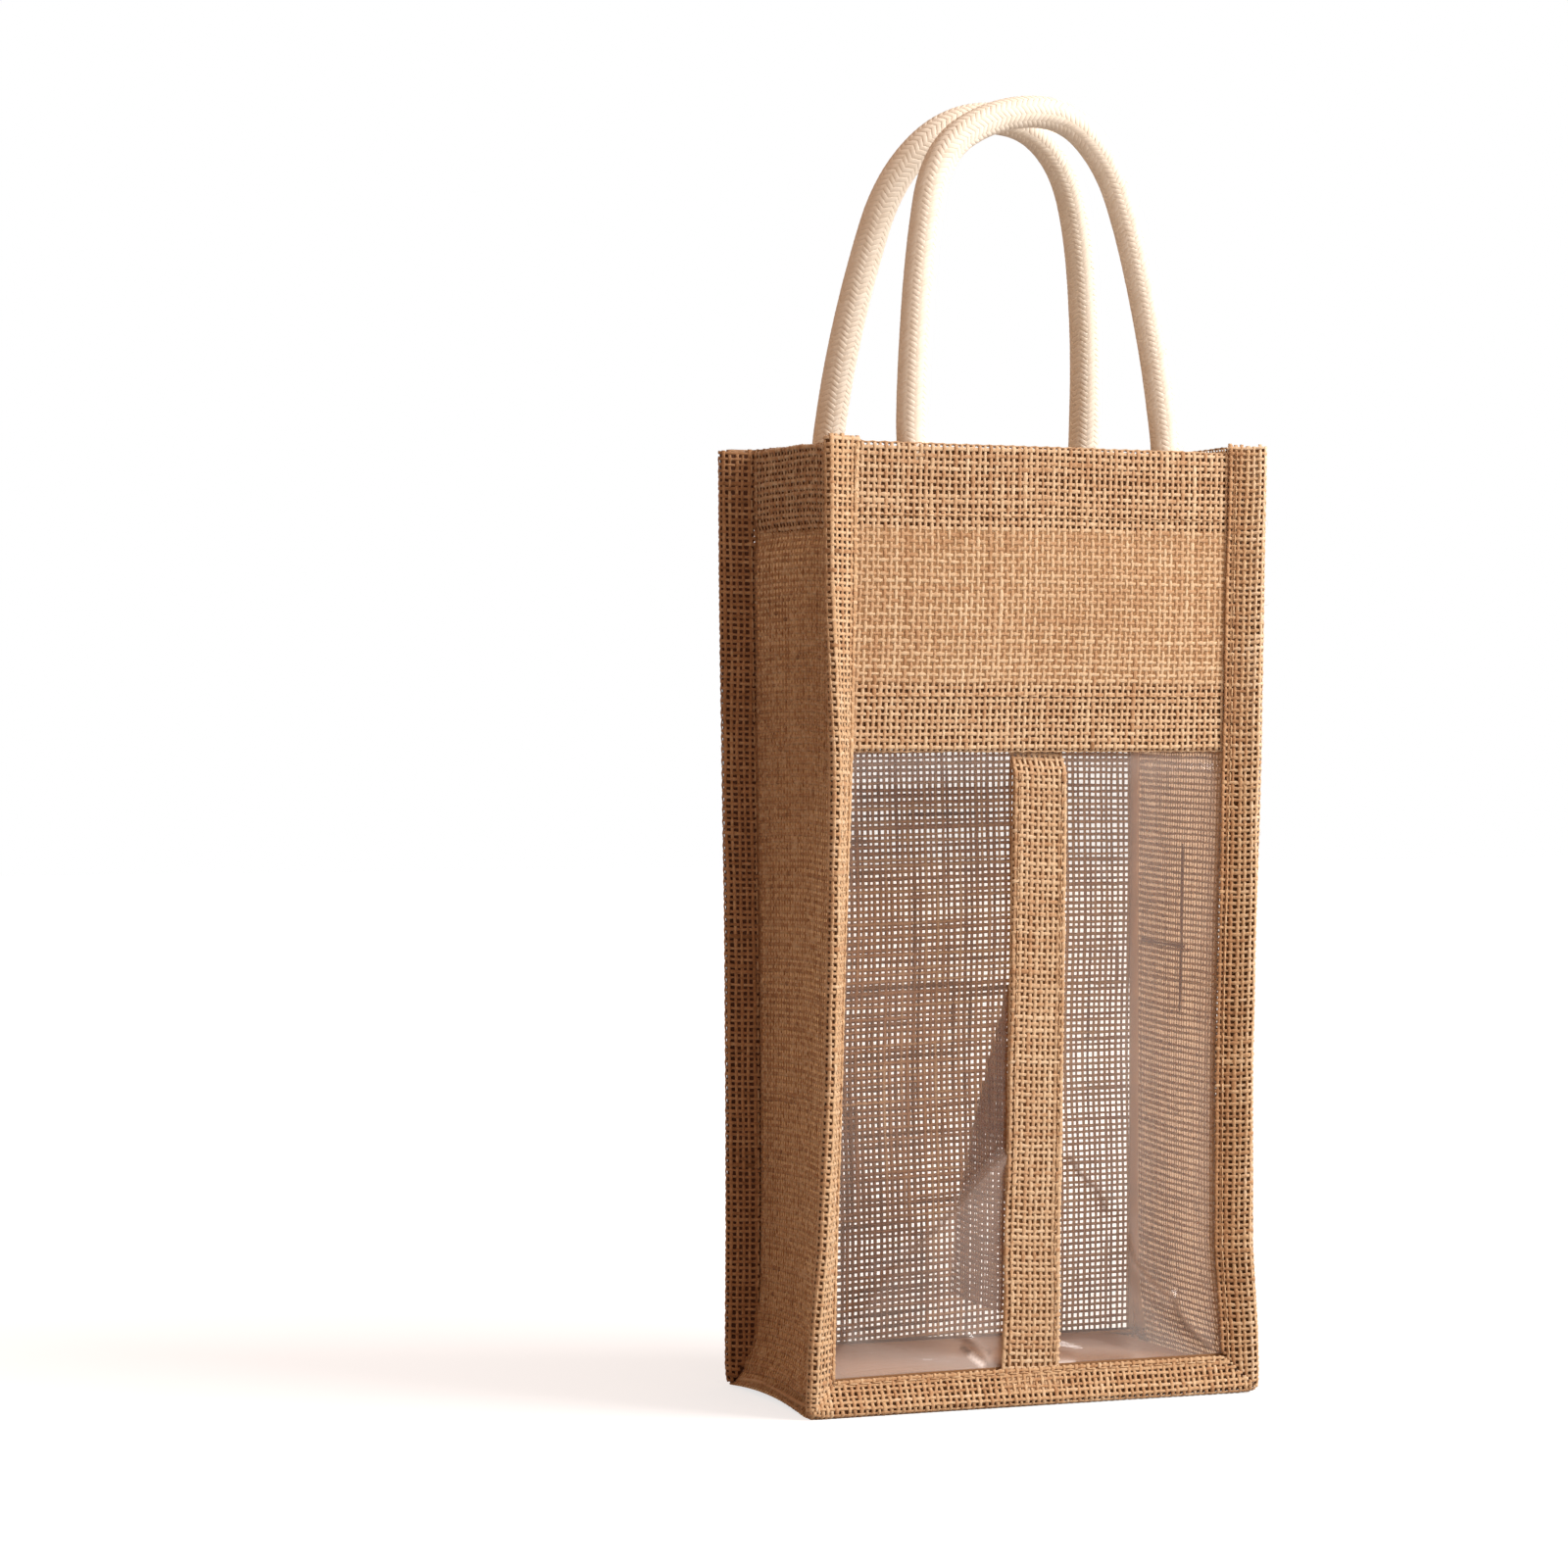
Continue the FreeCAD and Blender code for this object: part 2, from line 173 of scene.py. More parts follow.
class Face:
    """The front or the back of the bag, with the seams round it."""

    step = 0.1

    def __init__(self, mid, facing, roots, leans, foot_lean, swells):
        self.mid = mid
        self.facing = facing  # -1 looks along -Y and +1 along +Y
        self.roots = roots  # left and right, as (up, moved outwards) pairs
        self.leans = leans  # left and right, as (up, degrees) pairs
        self.foot_lean = foot_lean  # as (across, degrees) pairs
        self.swells = swells  # (across, up, half width, half height, how far out)

    def middle(self, across, up):
        """A place in the middle of the seams' thickness."""
        across, up = np.broadcast_arrays(np.asarray(across, float), np.asarray(up, float))
        left = -ROOT - between(self.roots[0], up)
        right = ROOT + between(self.roots[1], up)
        out_left, ahead_left = bent(-across - ROOT, np.radians(between(self.leans[0], up)))
        out_right, ahead_right = bent(across - ROOT, np.radians(between(self.leans[1], up)))
        foot_lean = np.radians(between(self.foot_lean, across))
        out_foot, ahead_foot = bent(FLANGE - up, foot_lean)
        foot = bent(FLANGE, foot_lean)[0]
        settled = (FLANGE - foot) * fading(up - FLANGE, 3 * FLANGE)
        height = np.where(up < FLANGE, foot - out_foot, up - settled)
        ahead = np.maximum(np.maximum(ahead_left, ahead_right), ahead_foot)
        for at_across, at_up, half_width, half_height, far in self.swells:
            ahead = ahead + far * hump(across - at_across, half_width) * hump(up - at_up, half_height)
        reach = fraction(np.abs(across), ROOT, ROOT + FLANGE)
        drawn = ROUNDING * (reach * fraction(up, FLANGE, 0)) ** 3
        aside = left + (right - left) * fraction(across, -ROOT, ROOT) - out_left + out_right
        return np.stack(
            [aside - np.sign(across) * drawn, self.mid + self.facing * ahead, height + drawn], axis=-1
        )

    def place(self, across, up, off):
        """A place that lies off the middle, along the face's own outward direction."""
        outward = -self.facing * facing_of(self.middle, across, up, self.step)
        return self.middle(across, up) + outward * np.asarray(off)[..., None]


FRONT = Face(
    FRONT_MID,
    -1,
    (
        ((0, 4.0), (50, 3.0), (104, 1.3), (156, -0.2), (237, -3.0), (300, -5.0), (353, -6.0)),
        ((0, -0.6), (24, -1.5), (55, -3.8), (120, -3.7), (174, -2.5), (237, -0.5), (300, 0.6), (353, 1.8)),
    ),
    (
        ((0, 36), (25, 40), (60, 53), (120, 59), (180, 57), (237, 49), (300, 26), (353, 15)),
        ((0, 14), (50, 24), (180, 24), (353, 20)),
    ),
    ((-91, 36), (-40, 26), (30, 18), (91, 14)),
    ((-10, 300, 60, 40, 1.2), (35, 285, 30, 25, 0.9), (-50, 330, 20, 18, -0.8), (50, 335, 25, 15, 0.6)),
)
BACK = Face(
    BACK_MID,
    1,
    (((0, -0.5), (100, -0.7), (170, -0.3), (237, 0.8), (300, 1.9), (353, 2.2)), ((0, 0.6), (353, 1.8))),
    (((0, 12), (60, 8), (353, 10)), ((0, 16), (180, 12), (353, 8))),
    ((-91, 14), (0, 10), (91, 16)),
    ((0, 200, 70, 120, 1.8), (-30, 90, 35, 50, 1.2), (40, 300, 40, 40, -1.0)),
)


def meshed(name, points, quads, bake, marks, material):
    """A smooth mesh in the scene; bake is its map for baking, marks are what its material reads."""
    mesh = bpy.data.meshes.new(name)
    mesh.from_pydata(points * MM, [], quads)
    mesh.polygons.foreach_set("use_smooth", np.ones(len(quads), bool))
    layer = mesh.uv_layers.new(name="OFBake")
    layer.data.foreach_set("uv", bake[quads.ravel()].astype(np.float32).ravel())
    for mark, values in marks.items():
        kind, field = ("FLOAT", "value") if values.ndim == 1 else ("FLOAT_VECTOR", "vector")
        layer = mesh.attributes.new(mark, kind, "POINT")
        layer.data.foreach_set(field, values.astype(np.float32).ravel())
    mesh.materials.append(material)
    mesh.update()
    made = bpy.data.objects.new(name, mesh)
    bpy.context.scene.collection.objects.link(made)
    return made


def slab(name, place, across, up, material, thin=THIN, keep=None, marks=None):
    """A thin closed sheet over a grid of places; keep says which it covers, marks what is on them."""
    across, up = np.meshgrid(across, up)
    kept = keep(across, up) if keep else np.ones(across.shape, bool)
    skins = np.concatenate([place(across, up, off).reshape(-1, 3) for off in (thin, -thin)])
    index = np.arange(across.size).reshape(across.shape)
    cells = kept[:-1, :-1] & kept[1:, :-1] & kept[:-1, 1:] & kept[1:, 1:]
    corners = np.stack([index[:-1, :-1], index[:-1, 1:], index[1:, 1:], index[1:, :-1]], axis=-1)[cells]
    sides = np.concatenate([corners[:, [k, (k + 1) % 4]] for k in range(4)])
    both = {tuple(side) for side in sides.tolist()}
    rim = np.array([side for side in sides.tolist() if (side[1], side[0]) not in both])
    count = across.size
    walls = np.stack([rim[:, 1], rim[:, 0], rim[:, 0] + count, rim[:, 1] + count], axis=-1)
    quads = np.concatenate([corners, corners[:, ::-1] + count, walls])
    used, packed = np.unique(quads, return_inverse=True)
    flat = np.stack([across.ravel(), up.ravel()], axis=-1)
    flat = (flat - flat.min(axis=0)) / (flat.max(axis=0) - flat.min(axis=0)) * (0.48, 0.98) + 0.01
    bake = np.concatenate([flat, flat + (0.5, 0)])
    marks = {mark: np.tile(measure(across, up).ravel(), 2)[used] for mark, measure in (marks or {}).items()}
    return meshed(name, skins[used], packed.reshape(-1, 4), bake[used], marks, material)


WHOLE_MAP = (0.0, 0.0, 1.0, 1.0)
FUZZY = []  # places and normals along the woven yarns, for the loose fibres


def lane(at, along):
    """A tube's way through the bake map: upright, at one place across."""
    return np.stack([np.full(len(along), at), along], axis=-1)


def rows(low, high, pitch):
    """Places a pitch apart that fill a stretch."""
    count = max(2, round((high - low) / pitch))
    return low + (np.arange(count) + 0.5) * (high - low) / count


class Yarns:
    """Collects tubes for one mesh: their points, faces, and what the materials read from them."""

    step = 0.15
    names = 997

    def __init__(self, seed):
        self.rng = np.random.default_rng(seed)
        self.points = []
        self.quads = []
        self.maps = []
        self.tones = []
        self.fibres = []
        self.places = []
        self.count = 0
        self.yarns = 0

    def tube(self, centres, normals, half_width, half_height, sides, tone, way, spread):
        """One closed tube; half_width lies across the normals, way and spread are its bake map."""
        rings = len(centres)
        half_width, half_height, tone = (
            np.broadcast_to(given, rings) for given in (half_width, half_height, tone)
        )
        along = unit(np.gradient(centres, axis=0))
        across = unit(np.cross(along, normals))
        upright = np.cross(across, along)
        angles = np.arange(sides) / sides * math.tau
        wide = half_width[:, None] * np.cos(angles)
        high = half_height[:, None] * np.sin(angles)
        points = centres[:, None] + across[:, None] * wide[..., None] + upright[:, None] * high[..., None]
        start = self.count + np.arange(rings - 1)[:, None] * sides
        here = np.arange(sides)[None]
        after = (here + 1) % sides
        quads = np.stack([start + here, start + after, start + sides + after, start + sides + here], axis=-1)
        self.quads.append(quads.reshape(-1, 4))
        last = self.count + (rings - 1) * sides
        for k in range(1, sides - 2, 2):
            lid = np.array([0, k, k + 1, k + 2])
            self.quads.append((self.count + lid[::-1])[None])
            self.quads.append((last + lid)[None])
        self.points.append(points.reshape(-1, 3))
        self.maps.append((way[:, None] + np.cos(angles)[:, None] * np.asarray(spread)).reshape(-1, 2))
        self.tones.append(np.repeat(tone, sides))
        length = np.concatenate([[0], np.cumsum(np.linalg.norm(np.diff(centres, axis=0), axis=1))])
        girth = (half_width + half_height)[:, None] * angles
        name = np.full((rings, sides), float(self.yarns % self.names))
        fibre = np.stack([np.repeat(length[:, None], sides, 1), girth, name], axis=-1)
        self.fibres.append(fibre.reshape(-1, 3))
        self.count += rings * sides
        self.yarns += 1

    def drift(self, count, runs, size):
        """A smooth random line of so many steps, with so many places where it may turn."""
        knots = self.rng.normal(size=runs + 2) * size
        t = np.linspace(0, runs, count)
        i = t.astype(int)
        t = smooth(t - i)
        return knots[i] * (1 - t) + knots[i + 1] * t

    def spun(self, at, pitch, bow, count, slubs, shade, uneven, grain):
        """One yarn's own line, thickness and tone, with a thicker, darker stretch here and there."""
        rng = self.rng
        runs = max(2, count // 14)
        line = at + bow * pitch * BOW_SHARE + self.drift(count, runs, WANDER_SHARE * pitch)
        line = line + rng.normal() * ASIDE_SHARE * pitch
        line = line + rng.normal(size=count) * JITTER_SHARE * pitch
        thick = math.exp(rng.normal() * THICKNESS_SHARE)
        thick = thick * (1 + self.drift(count, max(2, count // 4), SWELL_SHARE))
        slub = np.zeros(count)
        if rng.random() < slubs:
            middle = rng.random() * count
            reach = rng.uniform(*SLUB_REACH)
            slub = hump(np.arange(count) - middle, reach) * rng.uniform(0.3, 1.0)
        thick = np.clip(thick * (1 + SLUB_SHARE * slub), THIN_SHARE, THICK_SHARE)
        tone = shade + uneven * (rng.normal() + self.drift(count, runs, 1.0)) - 4 * uneven * slub
        tone = tone + rng.normal(size=count) * grain
        return line, thick, tone

    def weave(
        self, surface, warps, wefts, cover, tile=WHOLE_MAP, inside=None, rings=2, sides=6, ragged=0,
        slubs=0.12, shade=0.52, uneven=0.055, grain=0.06, flat=1.0,
    ):
        """Interlaced yarns on a surface of (across, along) places; tile is their box in the bake map."""
        low = np.array([warps[0] - WARP_PITCH, wefts[0] - WEFT_PITCH])
        high = np.array([warps[-1] + WARP_PITCH, wefts[-1] + WEFT_PITCH])
        half = np.array([(tile[2] - tile[0]) / 2, tile[3] - tile[1]])
        scale = half / (high - low)
        bows = (self.drift(len(wefts), max(2, len(wefts) // 24), 0.5), self.drift(len(warps), 4, 0.5))
        for kind, (own, crossed) in enumerate(((warps, wefts), (wefts, warps))):
            pitch = own[1] - own[0]
            steps = np.arange(-YARN_END_SHARE, len(crossed) - 1 + YARN_END_SHARE + FEW, 1 / rings)
            along = crossed[0] + steps * (crossed[1] - crossed[0])
            bow = np.interp(steps, np.arange(len(crossed)), bows[kind])
            made = [self.spun(at, pitch, bow, len(steps), slubs, shade, uneven, grain) for at in own]
            lines, thick, tone = (np.stack(each) for each in zip(*made))
            along = np.broadcast_to(along, lines.shape).copy()
            s, v = (lines, along) if kind == 0 else (along, lines)
            keep = inside(s, v) if inside else np.ones(s.shape, bool)
            if ragged and kind == 0:
                v[:, -1] += self.rng.uniform(-0.3, 1, len(own)) * ragged
            normals = facing_of(surface, s, v, self.step)
            sign = np.where((np.arange(len(own)) + kind) % 2, WAVE, -WAVE)
            lift = flat * sign[:, None] * np.cos(math.pi * steps)
            centres = surface(s, v) + normals * lift[..., None]
            half_width = 0.5 * pitch * thick * (cover(s, v) if callable(cover) else cover)
            if rings > 1:
                half_width = half_width * (1 - PINCH_SHARE * np.sin(math.pi * steps) ** 2)
            half_height = flat * YARN_HALF_THICKNESS * np.sqrt(thick)
            ways = (np.stack([s, v], axis=-1) - low) * scale + (tile[0] + kind * half[0], tile[1])
            spread = np.zeros(2)
            spread[kind] = 0.3 * pitch * scale[kind]
            for i, kept in enumerate(keep):
                at = np.flatnonzero(kept)
                if len(at) < 3:
                    continue
                part = (i, slice(at[0], at[-1] + 1))
                shape = (each[part] for each in (centres, normals, half_width, half_height))
                self.tube(*shape, sides, tone[part], ways[part], spread)
                self.places.append(np.concatenate([centres[part], normals[part]], axis=-1))

    def shaded(self, change):
        """Adds a change of tone that is worked out from x, y and z."""
        for tone, points in zip(self.tones, self.points):
            tone += change(*points.T)

    def made(self, name, material):
        """The tubes as one object in the scene."""
        FUZZY.extend(self.places)
        marks = {"tone": np.concatenate(self.tones), "fibre": np.concatenate(self.fibres)}
        points, quads, bake = (np.concatenate(each) for each in (self.points, self.quads, self.maps))
        return meshed(name, points, quads, bake, marks, material)


class Nodes:
    """A short way to write the nodes of a material, or of the world."""

    def __init__(self, name, world=None):
        self.material = world or bpy.data.materials.new(name)
        self.material.use_nodes = True
        self.tree = self.material.node_tree
        self.tree.nodes.clear()
        self.output = self.tree.nodes.new("ShaderNodeOutputWorld" if world else "ShaderNodeOutputMaterial")

    def add(self, kind, inputs, output, **settings):
        """Adds a node and gives one of its outputs."""
        node = self.tree.nodes.new(kind)
        for key, setting in settings.items():
            setattr(node, key, setting)
        for key, given in inputs.items():
            if isinstance(given, bpy.types.NodeSocket):
                self.tree.links.new(given, node.inputs[key])
            else:
                node.inputs[key].default_value = given
        return node.outputs[output]

    def math(self, operation, *values):
        return self.add("ShaderNodeMath", dict(enumerate(values)), 0, operation=operation)

    def mark(self, name, output="Fac"):
        return self.add("ShaderNodeAttribute", {}, output, attribute_name=name)

    def noise(self, where, scale, detail):
        return self.add("ShaderNodeTexNoise", {"Vector": where, "Scale": scale, "Detail": detail}, "Fac")

    def shader(self, kind, colour, **inputs):
        return self.add(kind, {"Color": (*colour, 1), **inputs}, 0)

    def mix(self, share, first, second):
        return self.add("ShaderNodeMixShader", {"Fac": share, 1: first, 2: second}, 0)

    def ramp(self, factor, stops):
        colour = self.add("ShaderNodeValToRGB", {"Fac": factor}, "Color")
        ramp = colour.node.color_ramp
        while len(ramp.elements) < len(stops):
            ramp.elements.new(0.5)
        for element, (place, stop) in zip(ramp.elements, stops):
            element.position = place
            element.color = (*stop, 1)
        return colour

    def done(self, shader):
        self.tree.links.new(shader, self.output.inputs["Surface"])
        return self.material


FIBRE_STRETCH = (0.8, 2.6, 1.7)  # along a yarn, round it, and from yarn to yarn


def fibre_material(name, stops, streak, sheen, fuzz):
    """Spun yarn: a tone for each yarn and fine streaks of fibre along it."""
    m = Nodes(name)
    parts = {0: m.mark("fibre", "Vector"), 1: FIBRE_STRETCH}
    strands = m.noise(m.add("ShaderNodeVectorMath", parts, "Vector", operation="MULTIPLY"), 1.6, 3.0)
    tone = m.math("MULTIPLY_ADD", m.math("SUBTRACT", strands, 0.5), streak, m.mark("tone"))
    bumps = {"Height": strands, "Strength": 0.5, "Distance": fuzz * MM}
    looks = {
        "Base Color": m.ramp(tone, stops),
        "Roughness": 0.88,
        "Specular IOR Level": 0.25,
        "Sheen Weight": sheen,
        "Sheen Roughness": 0.5,
        "Normal": m.add("ShaderNodeBump", bumps, "Normal"),
    }
    return m.done(m.add("ShaderNodeBsdfPrincipled", looks, "BSDF"))


JUTE_STOPS = (
    (0.0, (0.20, 0.095, 0.036)),
    (0.35, (0.43, 0.236, 0.116)),
    (0.6, (0.585, 0.404, 0.24)),
    (1.0, (0.76, 0.59, 0.405)),
)
TAPE_STOPS = (
    (0.0, (0.19, 0.09, 0.034)),
    (0.35, (0.41, 0.215, 0.10)),
    (0.6, (0.575, 0.375, 0.205)),
    (1.0, (0.765, 0.59, 0.41)),
)
COTTON_STOPS = (
    (0.0, (0.62, 0.515, 0.385)),
    (0.4, (0.77, 0.675, 0.54)),
    (0.7, (0.845, 0.765, 0.64)),
    (1.0, (0.89, 0.825, 0.71)),
)
# Painted shade: the darkest jute, for dark sheets inside hems, seams and the strip, and a deeper one for the
# back seams.
SHADED_STOPS = ((0.0, (0.085, 0.034, 0.015)), (1.0, (0.2, 0.1, 0.04)))
JUTE = fibre_material("jute", JUTE_STOPS, 0.75, 0.12, 0.16)
TAPE = fibre_material("jute_tape", TAPE_STOPS, 0.75, 0.12, 0.16)
COTTON = fibre_material("cotton", COTTON_STOPS, 0.3, 0.06, 0.05)
SHADE_JUTE = fibre_material("painted_shade_jute", JUTE_STOPS, 0.4, 0.0, 0.05)
DEEPER_SHADE_JUTE = fibre_material("deeper_painted_shade_jute", SHADED_STOPS, 0.4, 0.0, 0.05)
THREAD = fibre_material("sewing_thread", TAPE_STOPS, 0.3, 0.1, 0.05)
WHITE = (1.0, 1.0, 1.0)


def film_material():
    """Clear soft film: see-through, with a faint haze of its own, a pale veil of painted reflection and dark
    lines of painted shade here and there, and a little gloss.
    """
    m = Nodes("clear_film")
    clear = m.shader("ShaderNodeBsdfTransparent", (0.985, 0.955, 0.925))
    gloss = m.shader("ShaderNodeBsdfGlossy", WHITE, Roughness=0.07)
    # pale is the colour of painted reflection and glints, shade that of painted shade along creases
    pale = m.shader("ShaderNodeBsdfDiffuse", (0.84, 0.74, 0.68))
    shade = m.shader("ShaderNodeBsdfDiffuse", (0.20, 0.12, 0.08))
    cloud = m.noise(m.add("ShaderNodeTexCoord", {}, "Object"), 26.0, 2.0)
    thin = m.add("ShaderNodeMapRange", {"Value": cloud, "To Min": 0.0, "To Max": 0.04}, 0)
    body = m.mix(m.math("ADD", thin, m.mark("haze_and_reflection")), clear, pale)
    body = m.mix(m.math("MULTIPLY", m.mark("line"), 0.6), body, shade)
    slant = m.math("POWER", m.add("ShaderNodeLayerWeight", {"Blend": 0.5}, "Facing"), 5.0)
    return m.done(m.mix(m.math("MULTIPLY_ADD", slant, 0.6, 0.012), body, gloss))


def lining_material(name, colour, through):
    """A thin pale layer that light comes through in part."""
    m = Nodes(name)
    front = m.shader("ShaderNodeBsdfDiffuse", colour)
    back = m.shader("ShaderNodeBsdfTranslucent", through)
    return m.done(m.mix(0.72, front, back))


LINING = lining_material("lining", (0.47, 0.315, 0.18), (0.84, 0.66, 0.47))
PALE_LINING = lining_material("pale_lining", (0.85, 0.70, 0.56), (1.0, 0.88, 0.76))
# The wall lining is paler than the left side's lining: painted light on the right side's inside.
WALL_LINING = lining_material("wall_lining", (0.74, 0.59, 0.46), (0.88, 0.74, 0.6))
BASE_LINING = lining_material("base_lining", (0.70, 0.49, 0.36), (0.70, 0.49, 0.36))
FILM = film_material()


def dressed(piece, slot, *nodes):
    """Puts a piece on the bag, in place of the solids that it stands for."""
    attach(piece, "bag")
    if nodes:
        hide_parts(*nodes)
    return piece


def folded(along, length, out_off, in_off, foot=False):
    """How far up and how far off a face cloth lies that is turned in at its top, and maybe its foot."""
    radius = (out_off - in_off) / 2
    arc = math.pi * radius
    middle = (out_off + in_off) / 2
    up = along.copy()
    off = np.full(along.shape, float(out_off))
    for sign, end in ((1, length), (-1, 0)) if foot else ((1, length),):
        past = sign * (along - end) + radius
        angle = np.clip(past / arc, 0, 1) * math.pi
        rest = np.maximum(past - arc, 0)
        up = np.where(past > 0, end + sign * (radius * np.sin(angle) - radius - rest), up)
        off = np.where(past > 0, middle + radius * np.cos(angle), off)
    return up, off


HEM_ROWS = rows(-ROOT + HEM_INSET, ROOT - HEM_INSET, WARP_PITCH)
FILLER_INSET = 0.5


def hem_filler(name, face, low, high):
    """Painted shade inside a hem: a dark sheet between its layers, seen as dark specks between the yarns."""
    half = ROOT - FILLER_INSET
    middle = (PANEL_OFF + HEM_OFF) / 2
    across = np.linspace(-half, half, 60)
    up = np.linspace(low, high, 12)
    filler = slab(name, lambda across, up, off: face.place(across, up, middle + off), across, up, SHADE_JUTE)
    return dressed(filler, "jute_cloth")


FRONT_SAG = 1.6  # how far the front's rim hangs down
SAG_TO_RIGHT = 0.7  # how much more it does at the right
# Painted shade: the yarns over the rim hem are this much darker, for the doubled cloth behind them.
RIM_SHADE = 0.03
LINING_OVER = 0.06  # the front's lining lies this far out of the middle of its yarns
RIM_FILLER_BELOW = 3.4
WINDOW_FILLER_ABOVE = 1


def front_panel():
    """Cloth above the window: a close weave with its two edges turned in."""
    height = RIM - WINDOW_TOP
    top = height + ROUND_FOLD

    def surface(across, along):
        up, off = folded(along, height, PANEL_OFF, HEM_OFF, foot=True)
        sag = FRONT_SAG + SAG_TO_RIGHT * across / ROOT
        return FRONT.place(across, WINDOW_TOP + up * (1 - sag / height), off)

    def outer(across, along):
        return (np.abs(across) < SHEET_HALF) & (along > -ROUND_FOLD) & (along < top)

    yarns = Yarns(11)
    warps = rows(-SHEET_HALF, SHEET_HALF, WARP_PITCH)
    yarns.weave(surface, warps, rows(-ROUND_FOLD, top, WEFT_PITCH), CLOSE_SHARE, inside=outer)
    # painted shade over the rim hem
    yarns.shaded(lambda x, y, z: -RIM_SHADE * (z > RIM - RIM_HEM))
    panel = dressed(yarns.made("front_upper_cloth", JUTE), "jute_cloth", "front_upper_panel")

    hems = Yarns(12)
    for low, high, tile in (
        (top, height + RIM_HEM, (0, 0, 1, 0.5)),
        (-WINDOW_HEM, -ROUND_FOLD, (0, 0.5, 1, 1)),
    ):
        hems.weave(surface, HEM_ROWS, rows(low, high, WEFT_PITCH), HEM_SHARE, tile, **PLAIN_YARN)
    hem = dressed(hems.made("front_upper_hems", JUTE), "jute_cloth")
    under = ROOT + FLANGE / 2
    lining = slab(
        "front_lining",
        lambda across, up, off: FRONT.place(across, up, PANEL_OFF + LINING_OVER + off),
        np.linspace(-under, under, 90),
        np.linspace(WINDOW_TOP + WINDOW_HEM, RIM - RIM_HEM, 24),
        LINING,
    )
    window_low = WINDOW_TOP + WINDOW_FILLER_ABOVE
    # Painted shade inside the rim hem and the window hem.
    rim_filler = hem_filler("front_rim_shade_sheet", FRONT, RIM - RIM_HEM, RIM - RIM_FILLER_BELOW)
    window_filler = hem_filler("front_window_shade_sheet", FRONT, window_low, WINDOW_TOP + WINDOW_HEM)
    layers = (hem, dressed(lining, "jute_cloth"), rim_filler, window_filler)


OPEN_SHARE = 0.545  # how much of its pitch a yarn covers in the looser cloth of the back
OPENS_TO_RIGHT_SHARE = 0.085  # how much looser that cloth gets towards its right edge
CLOSER_SHARE = 0.12  # how much closer it is left of its middle
CLIMB = 0.06  # near the base the back's wefts rise by this much of their length
BACK_FOOT = 3
BACK_FILLER_BELOW = 1
CLOSER_UP, CLOSER_HALF = 115, 55
CLOSER_ENDS = (25, -15)


def left_middle(across, up):
    """How much a place belongs to the closer, darker stretch of the back."""
    return hump(up - CLOSER_UP, CLOSER_HALF) * fraction(across, *CLOSER_ENDS)


def back_cover(across, along):
    """How much of its pitch a yarn of the back covers."""
    return OPEN_SHARE - OPENS_TO_RIGHT_SHARE * across / ROOT + CLOSER_SHARE * left_middle(across, along)


def back_panel():
    """One open sheet with a rim hem."""

    def surface(across, along):
        up, off = folded(along, RIM, PANEL_OFF, HEM_OFF)
        climb = CLIMB * across * fraction(up, RIM, 0) * fraction(up, 0, FLANGE)
        return BACK.place(across, up + climb, off)

    def outer(across, along):
        return (np.abs(across) < SHEET_HALF) & (np.abs(across) < ROOT + along)

    yarns = Yarns(21)
    warps = rows(-SHEET_HALF, SHEET_HALF, WARP_PITCH)
    wefts = rows(BACK_FOOT, RIM + ROUND_FOLD, WEFT_PITCH)
    looks = {"slubs": 0.45, "shade": 0.42, "uneven": 0.1, "flat": 0.6}
    yarns.weave(surface, warps, wefts, back_cover, inside=outer, **PLAIN_YARN, **looks)
    # Painted light: lighter towards the right and towards the rim; the closer stretch left of the middle has
    # darker yarns.
    yarns.shaded(lambda x, y, z: 0.2 * x / ROOT + 0.2 * (z / RIM - 0.4) - 0.13 * left_middle(x, z))
    panel = dressed(yarns.made("back_cloth", JUTE), "jute_cloth", "back_panel")
    hems = Yarns(22)
    hem_wefts = rows(RIM + ROUND_FOLD, RIM + RIM_HEM, WEFT_PITCH)
    hems.weave(surface, HEM_ROWS, hem_wefts, HEM_SHARE, **PLAIN_YARN)
    hem = dressed(hems.made("back_rim_hem", JUTE), "jute_cloth")
    # Painted shade inside the rim hem.
    filler = hem_filler("back_rim_filler", BACK, RIM - RIM_HEM, RIM - BACK_FILLER_BELOW)


FLARE = 12.6  # at the floor the side cloth has slid this far out along its flanges
FLARE_FADE = 11
WALL_LOW = 1.3
WALL_CLEAR = 0.2  # between the side cloth and the tape
WALL_SINK = 1.2  # how much further it is from the tape at the floor
WALL_START = (0.2, 1.6)  # how far out of the roots it starts, at the front and at the back
BASE_RISE = 2.0
FURROW = 1.6  # under the rim hem the side cloth goes in by this much
FURROW_BELOW, FURROW_HALF = 2, 4
DISH = ((0, 1.0), (30, 1.6), (120, 2.4), (240, 2.4), (319, 1.6), (350, 1.0))
WALL_HEM_OFF = -1.4
IN_SEAM = 2.4  # the side cloth reaches this far into its seams


